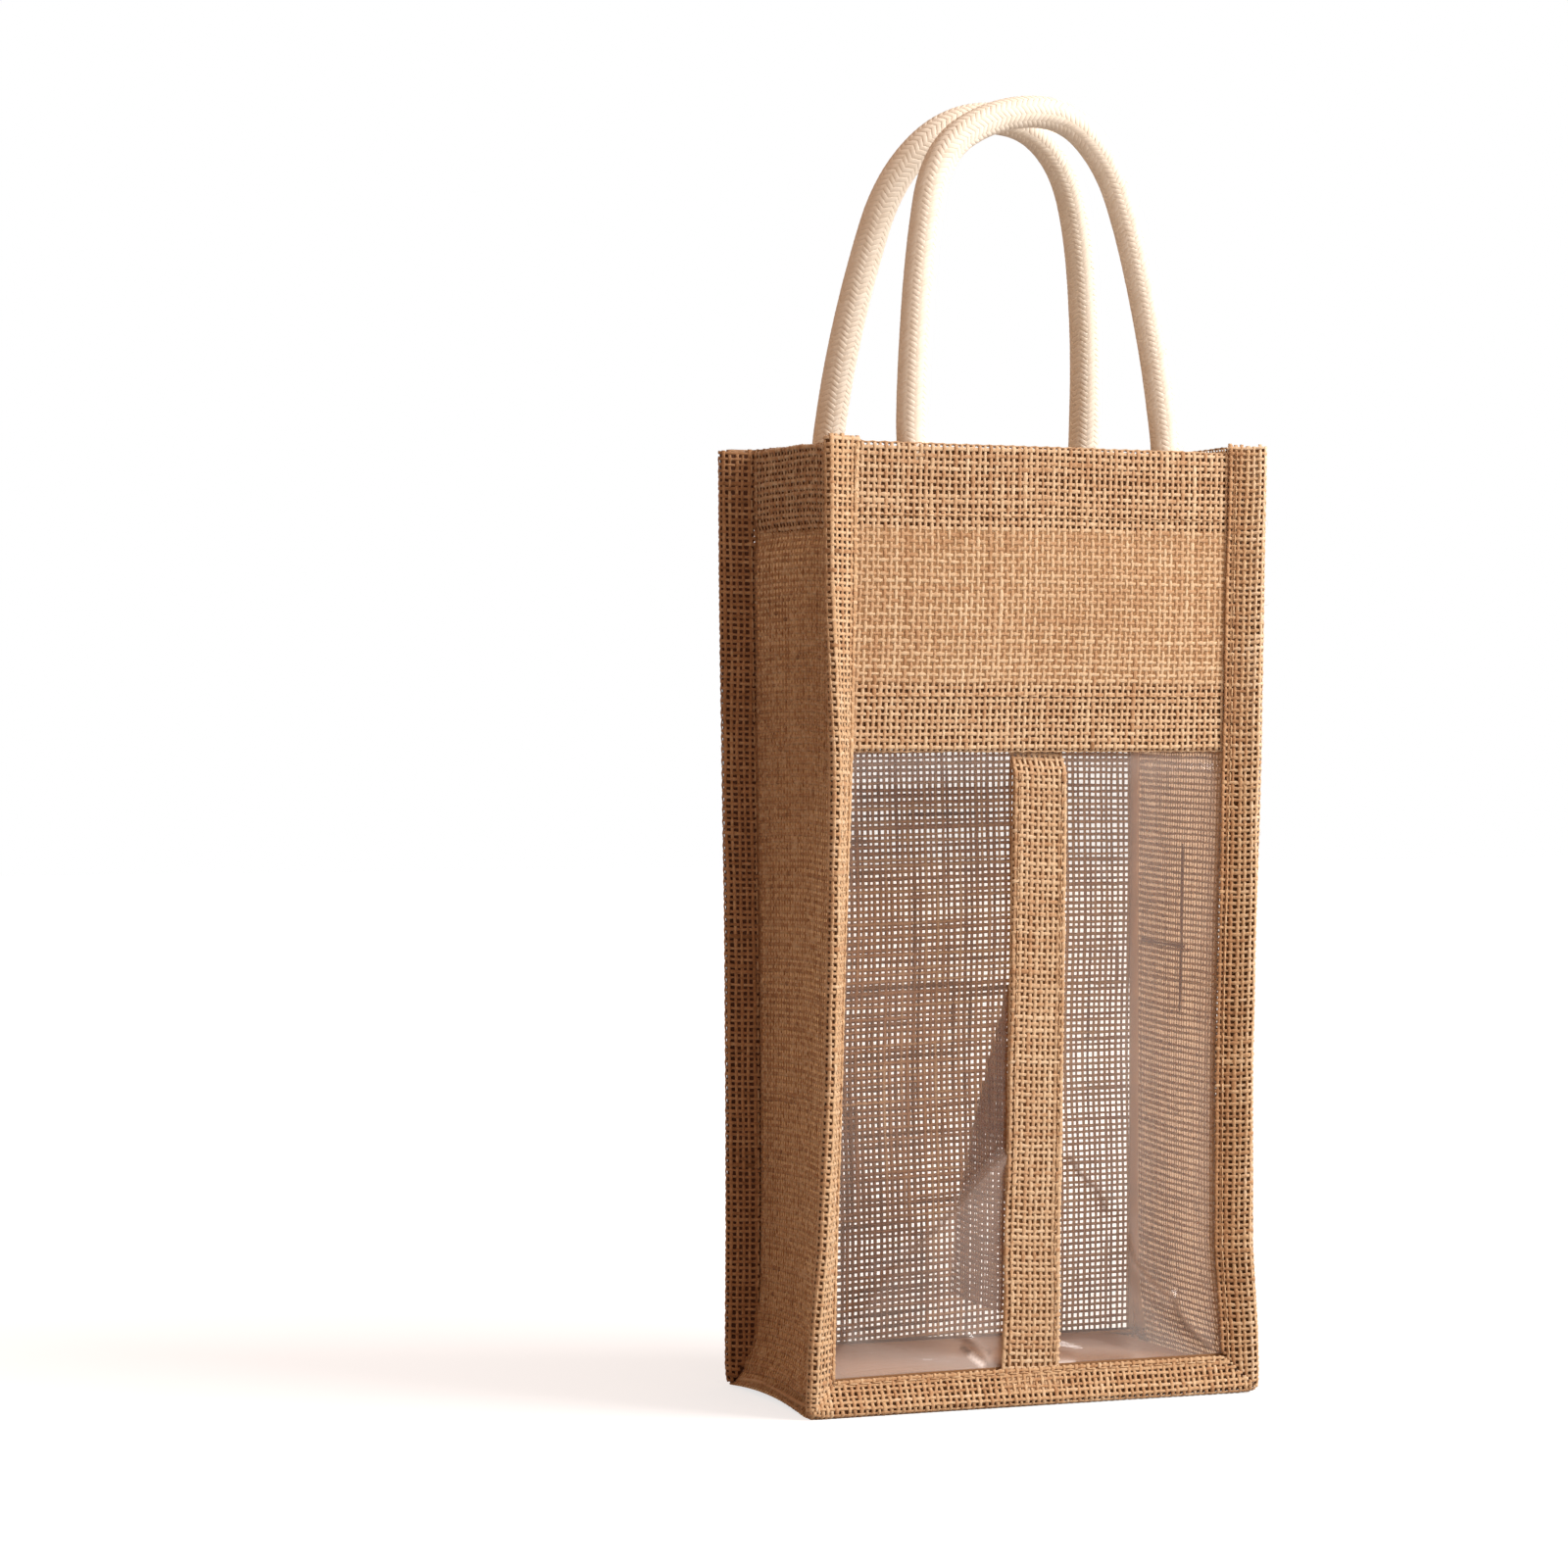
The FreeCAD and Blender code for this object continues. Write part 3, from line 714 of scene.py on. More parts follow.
def wall_place(side, share, up, inward):
    """A place on a side wall; share runs from the front seam to the back seam."""
    fade = fading(up - WALL_LOW, FLARE_FADE)
    off = -LEAF_OFF - WALL_CLEAR - WALL_SINK * fade
    slid = FLARE + WALL_START[0]
    front, back = (
        face.place(side * (ROOT + start + (slid - start) * fade), up, off)
        for face, start in zip((FRONT, BACK), WALL_START)
    )
    place = front + (back - front) * np.asarray(share)[..., None]
    hollow = 4 * share * (1 - share)
    furrow = FURROW * hump(up - RIM + RIM_HEM + FURROW_BELOW, FURROW_HALF)
    furrow = furrow * (0.3 + 0.7 * np.clip(share, 0, 1))
    place[..., X] -= side * (between(DISH, up) * hollow + furrow + inward)
    place[..., Z] += BASE_RISE * fade * hollow
    return place


CORNER_IN = 1.0
CORNER_OFF = -0.4
CORNER_END_SHARE = 0.965
CORNER_INWARD = 0.5


def corner_lining(name, side):
    """A narrow strip over an inner corner, from the back to the side wall."""

    def place(along, up, off):
        start = BACK.place(side * (ROOT - CORNER_IN), up, CORNER_OFF)
        end = wall_place(side, np.full(np.shape(up), CORNER_END_SHARE), up, CORNER_INWARD)
        return start + (end - start) * along[..., None] - np.array([side * off, off, 0.0])

    return slab(name, place, np.linspace(0, 1, 5), np.linspace(FLANGE, RIM - RIM_HEM, 80), PALE_LINING)


def from_line(line, across, up):
    """How far places are from a line of straight pieces."""
    here = np.stack([across, up], axis=-1)
    nearest = np.full(np.shape(across), np.inf)
    for a, b in zip(np.array(line[:-1], float), np.array(line[1:], float)):
        t = np.clip(((here - a) @ (b - a)) / ((b - a) @ (b - a)), 0, 1)
        nearest = np.minimum(nearest, np.linalg.norm(here - a - t[..., None] * (b - a), axis=-1))
    return nearest


# Dark lines on the inside of the right side, made as thick dark tubes, as lines of (deep, up) places.
RIGHT_DARK_LINES = (
    ((-11.5, 203), (-12.4, 168), (-11.5, 140)),
    ((33, 165.2), (-15, 164.4)),
)
DARK_TUBE_IN = 0.45
DARK_TUBE_HALF = 0.5
DARK_TUBE_UNEVEN = 0.1


def dark_line_tube(yarns, side, line):
    """A thick dark tube along a dark line on the inside of a side wall."""
    t = np.linspace(0, 1, 60)
    deep, up = (np.interp(t, np.linspace(0, 1, len(line)), ends) for ends in np.array(line, float).T)
    centres = wall_place(side, (deep - FRONT_MID) / DEPTH, up, DARK_TUBE_IN)
    half = DARK_TUBE_HALF + DARK_TUBE_UNEVEN * np.sin(9 * t)
    way = lane(0.004, 0.05 + 0.9 * t)
    yarns.tube(centres, (-side, 0.0, 0.0), half, 0.6 * half, 6, 0.12, way, (0.002, 0))


LEFT_SHARE = 0.72
RIGHT_SHARE = 0.53  # how much of its pitch a yarn covers at the front of the right side
RIGHT_CLOSES_SHARES = (0.3, 0.7)  # of the way to the back, between which the weave gets closer
RIGHT_CLOSES_DOWN = (90, 30)  # heights, between which it gets a little closer too


def right_cover(across, along):
    """How close the right side's weave is: closer towards its back seam and the base."""
    closer = 0.18 * fraction(across / DEPTH, *RIGHT_CLOSES_SHARES)
    return RIGHT_SHARE + closer + 0.02 * fraction(along, *RIGHT_CLOSES_DOWN)


WALL_FILLER_IN = 0.7
WALL_FILLER_BELOW = 1
LINING_BENDS = (40, 42, 300, 301)  # heights between which the lining's rows are closer or wider apart


def side_wall(name, side, seed, shade, cover, lining, lining_in=0.0, flat=1.0, dark_lines=()):
    """One side of the band, turned in at the rim; its lining lies lining_in from the yarns' middle."""
    hem_low = RIM - RIM_HEM

    def surface(across, along):
        up, off = folded(along, RIM, 0.0, WALL_HEM_OFF)
        return wall_place(side, across / DEPTH, up, -off)

    def layer(piece, inward, up, material):
        return slab(
            name.replace("cloth", piece),
            lambda across, up, off: wall_place(side, across / DEPTH, up, inward + off),
            np.linspace(-IN_SEAM, DEPTH + IN_SEAM, 40),
            up,
            material,
        )

    yarns = Yarns(seed)
    warps = rows(-IN_SEAM, DEPTH + IN_SEAM, WARP_PITCH)
    wefts = rows(WALL_LOW, RIM + RIM_HEM, WEFT_PITCH)
    looks = {"slubs": 0.04, "shade": shade, "uneven": 0.04, "grain": 0.14, "flat": flat}
    yarns.weave(surface, warps, wefts, cover, sides=4, **looks)
    # Painted shade: darker towards the back seam and lighter towards the front; the yarns over the rim hem
    # are a little lighter.
    yarns.shaded(lambda x, y, z: 0.05 * (z > hem_low) - 0.05 * y / BACK_MID)
    for line in dark_lines:
        dark_line_tube(yarns, side, line)
    wall = dressed(yarns.made(name, JUTE), "jute_cloth", "gusset_band")
    ends = (WALL_LOW, *LINING_BENDS, hem_low)
    heights = [np.linspace(*ends[2 * k : 2 * k + 2], count) for k, count in enumerate((30, 70, 19))]
    inner = layer("lining", lining_in, np.concatenate(heights), lining)
    # Painted shade: a dark sheet inside the rim hem.
    filler_up = np.linspace(hem_low, RIM - WALL_FILLER_BELOW, 20)
    filler = layer("hem_filler", WALL_FILLER_IN, filler_up, SHADE_JUTE)
    corner = corner_lining(name.replace("cloth", "back_corner"), side)
    layers = [dressed(piece, "jute_cloth") for piece in (inner, filler, corner)]


BASE_DRAWN = 9  # the base comes down to the floor over this length at both ends
BASE_SINK = 1.0
BASE_CLEAR = 1.3
BASE_SHARE = 0.72
BASE_LINING_UP = 0.2
BASE_LINING_HALF = 0.1
BASE_LINING_SHORT = 14
BASE_INSET, BASE_END, BASE_LINING_INSET = 0.4, 0.5, 0.5


def base_cloth():
    """The band's base, drawn down to the floor where it meets the side walls."""
    width = 2 * (ROOT + FLARE)

    def surface(across, along):
        share = across / DEPTH
        floor = np.full(np.shape(across), WALL_LOW)
        left, right = (wall_place(side, share, floor, 0.0) for side in (LEFT, RIGHT))
        place = left + (right - left) * (along / width)[..., None]
        drawn = np.clip(fading(along, BASE_DRAWN) + fading(width - along, BASE_DRAWN), 0, 1)
        low = left[..., Z]
        place[..., Z] = low + (BASE - BASE_SINK - low) * (1 - drawn)
        level = FRONT_MID + BASE_CLEAR + (DEPTH - 2 * BASE_CLEAR) * share
        place[..., Y] = place[..., Y] * drawn + level * (1 - drawn)
        return place

    yarns = Yarns(33)
    warps = rows(BASE_INSET, DEPTH - BASE_INSET, WARP_PITCH)
    wefts = rows(BASE_END, width - BASE_END, WEFT_PITCH)
    yarns.weave(surface, warps, wefts, BASE_SHARE, **PLAIN_YARN)
    base = dressed(yarns.made("base_cloth", JUTE), "jute_cloth", "gusset_band")
    lining = slab(
        "base_lining",
        lambda across, along, off: surface(across, along) + (0, 0, BASE_LINING_UP + off),
        np.linspace(BASE_LINING_INSET, DEPTH - BASE_LINING_INSET, 30),
        np.linspace(BASE_LINING_SHORT, width - BASE_LINING_SHORT, 70),
        BASE_LINING,
        BASE_LINING_HALF,
    )
    dressed(lining, "jute_cloth")


LEAF_START = 0.2  # a tape's leaf starts this far out of the root
RIGHT_LEAF_START = -0.8
LEAF_BACK_START = 0.1
MITRE_GAP = 0.1
MITRE_LAP = 0.2
MITRE_SWELL = 3  # the bottom tapes stand out over this reach where they lie over the side tapes
TAPE_END = 1
TAPE_RAGGED = 1.8
STUB_DROP, STUB_DROP_TO_TIP = 0.9, 1.8  # a stub's corners are this much lower than its middle
STUB_CURL = 5  # above the rim a tape's leaves close over this height
BOTTOM_SHORT = 1.2


def leaf(along, start):
    """A tape folded over a flange: how far from the root it lies, how far off, and its whole width."""
    along = np.asarray(along, float)
    middle = FLANGE - LEAF_OFF - SKIN
    run = middle - start
    arc = math.pi * LEAF_OFF
    angle = np.clip((along - run) / arc, 0, 1) * math.pi
    back = np.maximum(along - run - arc, 0)
    reach = np.where(along < run, start + along, middle + LEAF_OFF * np.sin(angle) - back)
    return reach, LEAF_OFF * np.cos(angle), run + arc + (middle - LEAF_BACK_START)


def side_binding(name, face, side, stub, cover, shade, seed, start=LEAF_START, fade=0.0, rings=2, sides=6):
    """A folded tape down an upright seam, cut at a mitre at the bottom and frayed at the top."""
    node = name.replace("tape", "binding")
    whole = leaf(0, start)[2]
    tops = RIM + stub

    def surface(across, along):
        reach, off, _ = leaf(across, start)
        return face.place(side * (ROOT + reach), along, off * fading(along - RIM, STUB_CURL))

    def inside(across, along):
        reach = leaf(across, start)[0]
        corner = np.abs(reach - FLANGE / 2) / (FLANGE / 2)
        drop = (STUB_DROP + STUB_DROP_TO_TIP * reach / FLANGE) * corner**3
        return (along > FLANGE - reach + MITRE_GAP) & (along < tops - drop)

    yarns = Yarns(seed)
    warps = rows(0, whole, TAPE_WARP_PITCH)
    wefts = rows(TAPE_END, tops - TAPE_END, TAPE_WEFT_PITCH)
    yarns.weave(surface, warps, wefts, cover, WHOLE_MAP, inside, rings, sides, TAPE_RAGGED, shade=shade)
    # Painted shade and light: darker at the inner edge by the seam, lighter towards the outer fold, as much
    # as fade says.
    yarns.shaded(lambda x, y, z: fade * ((np.abs(x) - ROOT) / FLANGE - 0.5))
    binding = dressed(yarns.made(name, TAPE), "binding_tape", node)


def bottom_binding(name, face, cover, seed, rings=2, sides=6):
    """A folded tape under a bottom seam; its ends lie over the side tapes at the mitres."""
    node = name.replace("tape", "binding")
    whole = leaf(0, LEAF_START)[2]
    half = ROOT + FLANGE - BOTTOM_SHORT

    def surface(across, along):
        reach, off, _ = leaf(along, LEAF_START)
        swell = 1.1 + 0.25 * fading(np.abs(ROOT + reach - np.abs(across)), MITRE_SWELL)
        return face.place(across, FLANGE - reach, off * swell)

    def inside(across, along):
        return np.abs(across) < np.minimum(ROOT + leaf(along, LEAF_START)[0] + MITRE_LAP, half)

    yarns = Yarns(seed)
    warps = rows(-half, half, TAPE_WARP_PITCH)
    yarns.weave(surface, warps, rows(0, whole, TAPE_WEFT_PITCH), cover, WHOLE_MAP, inside, rings, sides)
    binding = dressed(yarns.made(name, TAPE), "binding_tape", node)


STRIP_MIDDLE = ((0, -1.2), (40, 0.9), (100, 1.6), (150, 1.4), (200, 0.5), (237, -0.2), (260, -0.2))
STRIP_HALF = 11.4
STRIP_FOLD = 6.0
STRIP_LOW = 4
STRIP_NARROWS_SHARE = 0.05
STRIP_RAMP = 9  # below the window hem it goes in over this height
STRIP_BEHIND = 2.4
STRIP_FILLER_INSET = 0.8


def strip_off(up):
    """How far off the face the strip lies: it slips behind the window hem."""
    t = smooth(fraction(up, WINDOW_TOP - STRIP_RAMP, WINDOW_TOP))
    return STRIP_OFF - (STRIP_OFF + STRIP_BEHIND) * t


def centre_strip():
    """The upright strip on the film, with its long edges folded under."""
    radius = (STRIP_OFF - STRIP_FOLD_OFF) / 2
    half = STRIP_HALF - radius
    arc = math.pi * radius
    whole = 2 * (half + arc + STRIP_FOLD)

    def surface(across, along):
        past = np.abs(across) - half
        angle = np.clip(past / arc, 0, 1) * math.pi
        rest = np.maximum(past - arc, 0)
        reach = np.where(past < 0, np.abs(across), half + radius * np.sin(angle) - rest)
        reach = reach * (1 - STRIP_NARROWS_SHARE * along / WINDOW_TOP)
        drop = np.where(past < 0, 0, radius * (1 - np.cos(angle)))
        return FRONT.place(
            between(STRIP_MIDDLE, along) + np.sign(across) * reach, along, strip_off(along) - drop
        )

    def inner(across, up, off):
        return FRONT.place(between(STRIP_MIDDLE, up) + across, up, strip_off(up) - radius + off)

    yarns = Yarns(51)
    warps = rows(-whole / 2, whole / 2, TAPE_WARP_PITCH)
    yarns.weave(surface, warps, rows(STRIP_LOW, FILM_TOP, STRIP_WEFT_PITCH), CLOSE_SHARE)
    strip = dressed(yarns.made("centre_strip_cloth", JUTE), "jute_cloth", "centre_strip")
    # Painted shade: a dark sheet between the strip's folded layers, so no light shows through its holes.
    inside = STRIP_HALF - STRIP_FILLER_INSET
    across = np.linspace(-inside, inside, 12)
    filler = slab("centre_strip_filler", inner, across, np.linspace(STRIP_LOW, FILM_TOP, 60), SHADE_JUTE)
    dressed(filler, "jute_cloth")


WEB_EDGE = ((-39.5, 203), (-20, 158), (0, 122), (30, 66), (36, 44), (40, 33))  # (deep, up) pairs
WEB_BULGE = 2.5
WEB_CLIMB = 1.5
WEB_BACK_GAP = 1
WEB_LIT_EDGE = 4  # painted light: its free edge is paler over this width
WEB_CLOSER = (70, 100)  # between these heights its weave gets closer


def divider():
    """The cloth between the compartments, with its free edge sloping down to the back."""
    front, back = (edge("divider_web", end, Y) for end in (LOW, HIGH))

    def surface(across, along):
        share = (across - front) / (back - front)
        bulge = WEB_BULGE * np.sin(math.pi * np.clip(share, 0, 1))
        x = between(STRIP_MIDDLE, along) * (1 - share) - bulge
        return np.stack(np.broadcast_arrays(x, across, along + WEB_CLIMB * share), axis=-1)

    def inside(across, along):
        return along < between(WEB_EDGE, across)

    def cover(across, along):
        return 0.5 + 0.32 * fraction(along, *WEB_CLOSER)

    # Painted light along the lit free edge; painted shade darkens the rest of the web.
    def tone(x, y, z):
        return 0.5 * fading(between(WEB_EDGE, y) - z + WEB_CLIMB, WEB_LIT_EDGE) - 0.24

    yarns = Yarns(61)
    warps = rows(front, back - WEB_BACK_GAP, WARP_PITCH)
    wefts = rows(edge("divider_web", LOW, Z), edge("divider_web", HIGH, Z), WEFT_PITCH)
    yarns.weave(surface, warps, wefts, cover, inside=inside, flat=0.3, **PLAIN_YARN)
    yarns.shaded(tone)
    web = dressed(yarns.made("divider_cloth", JUTE), "jute_cloth", "divider_web")


# Creases in the film: a line of (across, up) places, half its width and how far out it stands.
CREASES = (
    (((-10, 90), (-30, 71), (-42, 60), (-61, 50), (-70, 34), (-76, 20)), 3.0, 1.5),
    (((-74, 40), (-60, 26), (-30, 20), (-14, 17)), 4.0, -1.6),
    (((-24, 26), (-18, 20), (-15, 15)), 1.6, 1.6),
    (((8, 22), (20, 18), (40, 17)), 2.0, 1.4),
    (((16, 90), (28, 77), (40, 67), (42, 49), (56, 34), (74, 12)), 3.5, 1.2),
    (((58.4, 37), (58.9, 31.4), (62.4, 25.8), (67.6, 20.9), (72, 17.7)), 1.6, 1.2),
    (((30, 190), (36, 150), (34, 110)), 5.0, 0.8),
    (((-40, 200), (-46, 150), (-40, 110)), 6.0, -0.7),
)
# Where the film below a crease shows a pale veil of painted reflection: the crease as (across, up) places.
LEFT_VEIL = (
    (-77, 23), (-68.6, 33.6), (-52.7, 54.6), (-46, 59), (-42, 62), (-31, 71.7), (-15, 88.4), (-10, 92),
)
RIGHT_VEIL = (
    (36, 30), (40.5, 57), (43, 51), (48, 45), (54, 39), (58, 35.5), (59, 31), (62, 26), (68, 21), (72, 17.5),
)
FOOT_VEIL = ((8, 24), (24, 24.3), (36, 20), (50, 15))
VEIL_EDGE = 1.5
LEFT_VEIL_THICKER = (-44, -20)  # places across, between which a veil of painted reflection comes in
RIGHT_VEIL_FROM = (34, 42)
FOOT_VEIL_SPAN = (5, 50)
RIGHT_HAZE_FROM = (8, 18)
PALE_STRIPE, PALE_STRIPE_HALF = 44, 9  # an upright stripe of painted reflection in the right window
SIDE_BORDER, TOP_BORDER, FOOT_BORDER = 2.0, 4, 9  # painted reflection: the film is paler along its edges
# Painted glints, small bright places: a line, half its width and how white it is.
PAINTED_GLINTS = ((((-22.5, 20), (-18.5, 16.4)), 1.0, 0.8), (((8, 15.6), (17, 15.2)), 0.8, 0.6))
# Painted shade along sharp creases: a line and how dark it is.
CREASE_SHADE_LINES = (
    (((16, 90), (20, 84), (28, 77), (31, 70)), 1.0),
    (((40.5, 60), (41, 57), (43, 51), (48, 45), (54, 39), (57, 36.5)), 1.0),
    (((58.4, 35.4), (58.9, 31.4), (62.4, 25.8), (67.6, 20.9), (72, 17.7)), 1.4),
    (((-10, 92), (-15, 88.4), (-31, 71.7), (-42, 62), (-46, 59)), 0.8),
    (((-46, 59), (-52.7, 54.6), (-68.6, 33.6), (-77, 23)), 0.3),
    (((-29, 27), (-21.4, 24.2), (-15.5, 20.5)), 0.6),
    (((-26, 22.8), (-23.5, 21)), 1.0),
)
CREASE_SHADE_HALF = 0.85
FILM_RAMP = 12  # below the window hem the film goes in over this height
FILM_BEHIND = 2.1
FILM_LOW = 3
FILM_TOP_INSET = 1  # behind the hem the film ends this far from the seams
FILM_HALF = 0.14
CREASE_FREE = (6, 5)  # the film lies flat at its sides and foot and creases over this reach


def ridges(lines, across, up):
    """The sum of soft ridges along (line, half width, height) rows."""
    return sum(height * hump(from_line(line, across, up), half) for line, half, height in lines)


def film_off(across, up):
    """How far off the face the film lies: creased, and behind the hem at its top."""
    free = fraction(np.abs(across), ROOT, ROOT - CREASE_FREE[0])
    free = free * fraction(up, FLANGE, FLANGE + CREASE_FREE[1])
    behind = smooth(fraction(up, WINDOW_TOP - FILM_RAMP, WINDOW_TOP))
    return ridges(CREASES, across, up) * free - FILM_BEHIND * behind


def film_haze_and_reflection(across, up):
    """How pale the film is: painted reflection in veils below the big creases, in a thin border, at its foot
    and in a pale stretch on the right, and painted glints.
    """
    veils = (LEFT_VEIL, RIGHT_VEIL, FOOT_VEIL)
    left, right, low = (fraction(between(veil, across) - up, 0, VEIL_EDGE) for veil in veils)
    left = left * (across < 0) * (0.03 + 0.04 * fraction(across, *LEFT_VEIL_THICKER))
    right = right * fraction(across, *RIGHT_VEIL_FROM) * 0.03
    low = low * ((across > FOOT_VEIL_SPAN[0]) & (across < FOOT_VEIL_SPAN[1])) * 0.05
    border = 0.04 * fading(np.abs(ROOT - np.abs(across)), SIDE_BORDER)
    border = border + 0.06 * fading(np.abs(WINDOW_TOP - up), TOP_BORDER)
    foot = np.where(across < 0, 0.14, 0.03) * hump(np.maximum(up - FLANGE, 0), FOOT_BORDER)
    thin = 0.025 * fraction(across, *RIGHT_HAZE_FROM) + 0.03 * hump(across - PALE_STRIPE, PALE_STRIPE_HALF)
    return np.clip(left + right + low + ridges(PAINTED_GLINTS, across, up) + border + foot + thin, 0, 1)


def film_crease_shade(across, up):
    """How much painted shade darkens the film along its sharp creases."""
    return np.clip(ridges([(line, CREASE_SHADE_HALF, dark) for line, dark in CREASE_SHADE_LINES], across, up), 0, 1)


def window_film():
    """The clear window: one thin closed sheet with its creases."""

    def keep(across, up):
        inner = np.abs(across) < ROOT - FILM_TOP_INSET
        return (np.abs(across) < ROOT + up) & (inner | (up < WINDOW_TOP))

    # The pale mark carries painted reflection and painted glints; the line mark carries painted shade along
    # the creases.
    film = slab(
        "window_film_sheet",
        lambda across, up, off: FRONT.place(across, up, film_off(across, up) + off),
        np.linspace(-SHEET_HALF, SHEET_HALF, 181),
        np.linspace(FILM_LOW, FILM_TOP, 241),
        FILM,
        FILM_HALF,
        keep,
        {"haze_and_reflection": film_haze_and_reflection, "line": film_crease_shade},
    )
    dressed(film, "clear_film", "window_film")


# The cloth edges in the seams, from the roots and the tips of the flanges.
CORE_SHORT = 0.75
CORE_TIP = 0.6
CORE_ROUND_FROM = 10.5
CORE_IN = 0.85
CORE_START = 1.5
CORE_FOOT = 0.2
CORE_ABOVE = 1
CORE_STEP = 0.8
CORE_HALF = 1.1


def seam_core(name, face, stub, material):
    """The cloth edges inside the flanges of a face, in the dark colour of painted shade, seen as dark specks
    between the tape's yarns.
    """
    deep = FLANGE - CORE_SHORT

    def place(across, up, off):
        reach = np.maximum(np.abs(across) - ROOT, FLANGE - up)
        tip = fraction(reach, CORE_ROUND_FROM, FLANGE - CORE_TIP)
        return face.place(across, up, off * (1 + 0.3 * tip) * np.sqrt(1 - tip**2) - CORE_IN * (1 - tip) ** 2)

    def keep(across, up):
        flange = np.abs(across) > ROOT + CORE_START
        inner = ~flange & (up > FLANGE + CORE_FOOT)
        return ~inner & (np.abs(across) < ROOT + deep) & (up > FLANGE - deep) & (flange | (up < RIM))

    half_step = CORE_STEP / 2
    flanges = np.arange(ROOT - half_step, ROOT + deep, CORE_STEP)
    half = np.concatenate([np.linspace(0, ROOT - CORE_STEP, 30), flanges])
    across = np.concatenate([-half[:0:-1], half])
    foot = np.arange(FLANGE - deep, FLANGE + half_step, CORE_STEP)
    up = np.concatenate([foot, np.linspace(FLANGE + CORE_ABOVE, RIM + stub, 120)])
    dressed(slab(name, place, across, up, material, CORE_HALF, keep), "binding_tape")


STITCH = 4.4
THREAD_HALF = 0.3
TAPE_STITCH_IN = 2.8  # the tapes are sewn this far from the root
HEM_STITCH_IN = 4
STRIP_STITCH_IN = 2.6
STRIP_STITCH_BELOW = 6


def sewn(yarns, low, high, place):
    """A row of stitches along a line of places; place takes (along, lift off the cloth)."""
    t = np.linspace(0, 1, 5)
    arch = np.sin(t * math.pi)
    for start in np.arange(low, high - STITCH, STITCH):
        along = start + (0.08 + 0.76 * t) * STITCH + yarns.rng.normal() * 0.08 * STITCH
        centres = place(along, (arch - 0.45) * 0.9 * THREAD_HALF)
        normals = unit(place(along, np.ones(t.shape)) - place(along, np.zeros(t.shape)))
        half = THREAD_HALF * (0.75 + 0.25 * arch)
        way = lane(0.1 + 0.8 * yarns.rng.random(), 0.1 + 0.8 * t)
        yarns.tube(centres, normals, half, half, 4, 0.55 + yarns.rng.normal() * 0.08, way, (0.05, 0))


def sewn_across(yarns, face, up, off):
    """A level row of stitches from seam to seam."""
    sewn(yarns, -ROOT, ROOT, lambda along, lift: face.place(along, np.full(along.shape, up), off + lift))


def stitches():
    """Thread along the tapes, the hems and the strip."""
    yarns = Yarns(81)
    on_tape = LEAF_OFF + SKIN
    on_panel = PANEL_OFF + SKIN
    for face in (FRONT, BACK):
        for side in (LEFT, RIGHT):
            at = side * (ROOT + TAPE_STITCH_IN)
            for sign in (-1, 1):
                sewn(
                    yarns,
                    FLANGE,
                    RIM,
                    lambda along, lift: face.place(np.full(along.shape, at), along, sign * (on_tape + lift)),
                )
        sewn_across(yarns, face, FLANGE - TAPE_STITCH_IN, 1.12 * LEAF_OFF + SKIN)
        sewn_across(yarns, face, RIM - RIM_HEM + HEM_STITCH_IN, on_panel)
    sewn_across(yarns, FRONT, WINDOW_TOP + WINDOW_HEM - HEM_STITCH_IN, on_panel)
    for side in (LEFT, RIGHT):
        aside = side * (STRIP_HALF - STRIP_STITCH_IN)
        sewn(
            yarns,
            FLANGE,
            WINDOW_TOP - STRIP_STITCH_BELOW,
            lambda along, lift: FRONT.place(
                between(STRIP_MIDDLE, along) + aside, along, strip_off(along) + SKIN + lift
            ),
        )
    dressed(yarns.made("seam_stitches", THREAD), "thread")


ROPE_SPAN = 104
WINDING_HALF = 8.2
WINDING_THREAD = 0.42
WINDING_INSET = 0.6
WINDING_SLOPE = 0.35


def tail_stitches(name, facing, seed):
    """Thread wound over the two sewn tails of a handle, in the place of its solids."""
    node = name.replace("tail_thread", "rope_stitches")
    yarns = Yarns(seed)
    low, high = (edge(node, end, Z) for end in (LOW, HIGH))
    near, far = sorted(abs(edge(node, end, Y)) for end in (LOW, HIGH))
    t = np.linspace(0, math.tau, 25)
    for side in (LEFT, RIGHT):
        for height in np.linspace(low + WINDING_INSET, high - WINDING_INSET, 7):
            x = side * ROPE_SPAN / 2 + WINDING_HALF * np.cos(t)
            y = facing * ((near + far) / 2 + (far - near) / 2 * np.sin(t))
            around = np.stack([x, y, height + WINDING_SLOPE * np.sin(t + height)], axis=-1)
            way = lane((0.1 + 0.1 * (height - low)) % 1, t / math.tau)
            yarns.tube(around, (0.0, 0.0, 1.0), WINDING_THREAD, WINDING_THREAD, 4, 0.62, way, (0.02, 0))
    dressed(yarns.made(name, THREAD), "thread", node)


FIBRES = 2600
LONGEST_FIBRE = 3.0
FIBRE_HALF = 0.045
FIBRE_OFF = 0.5


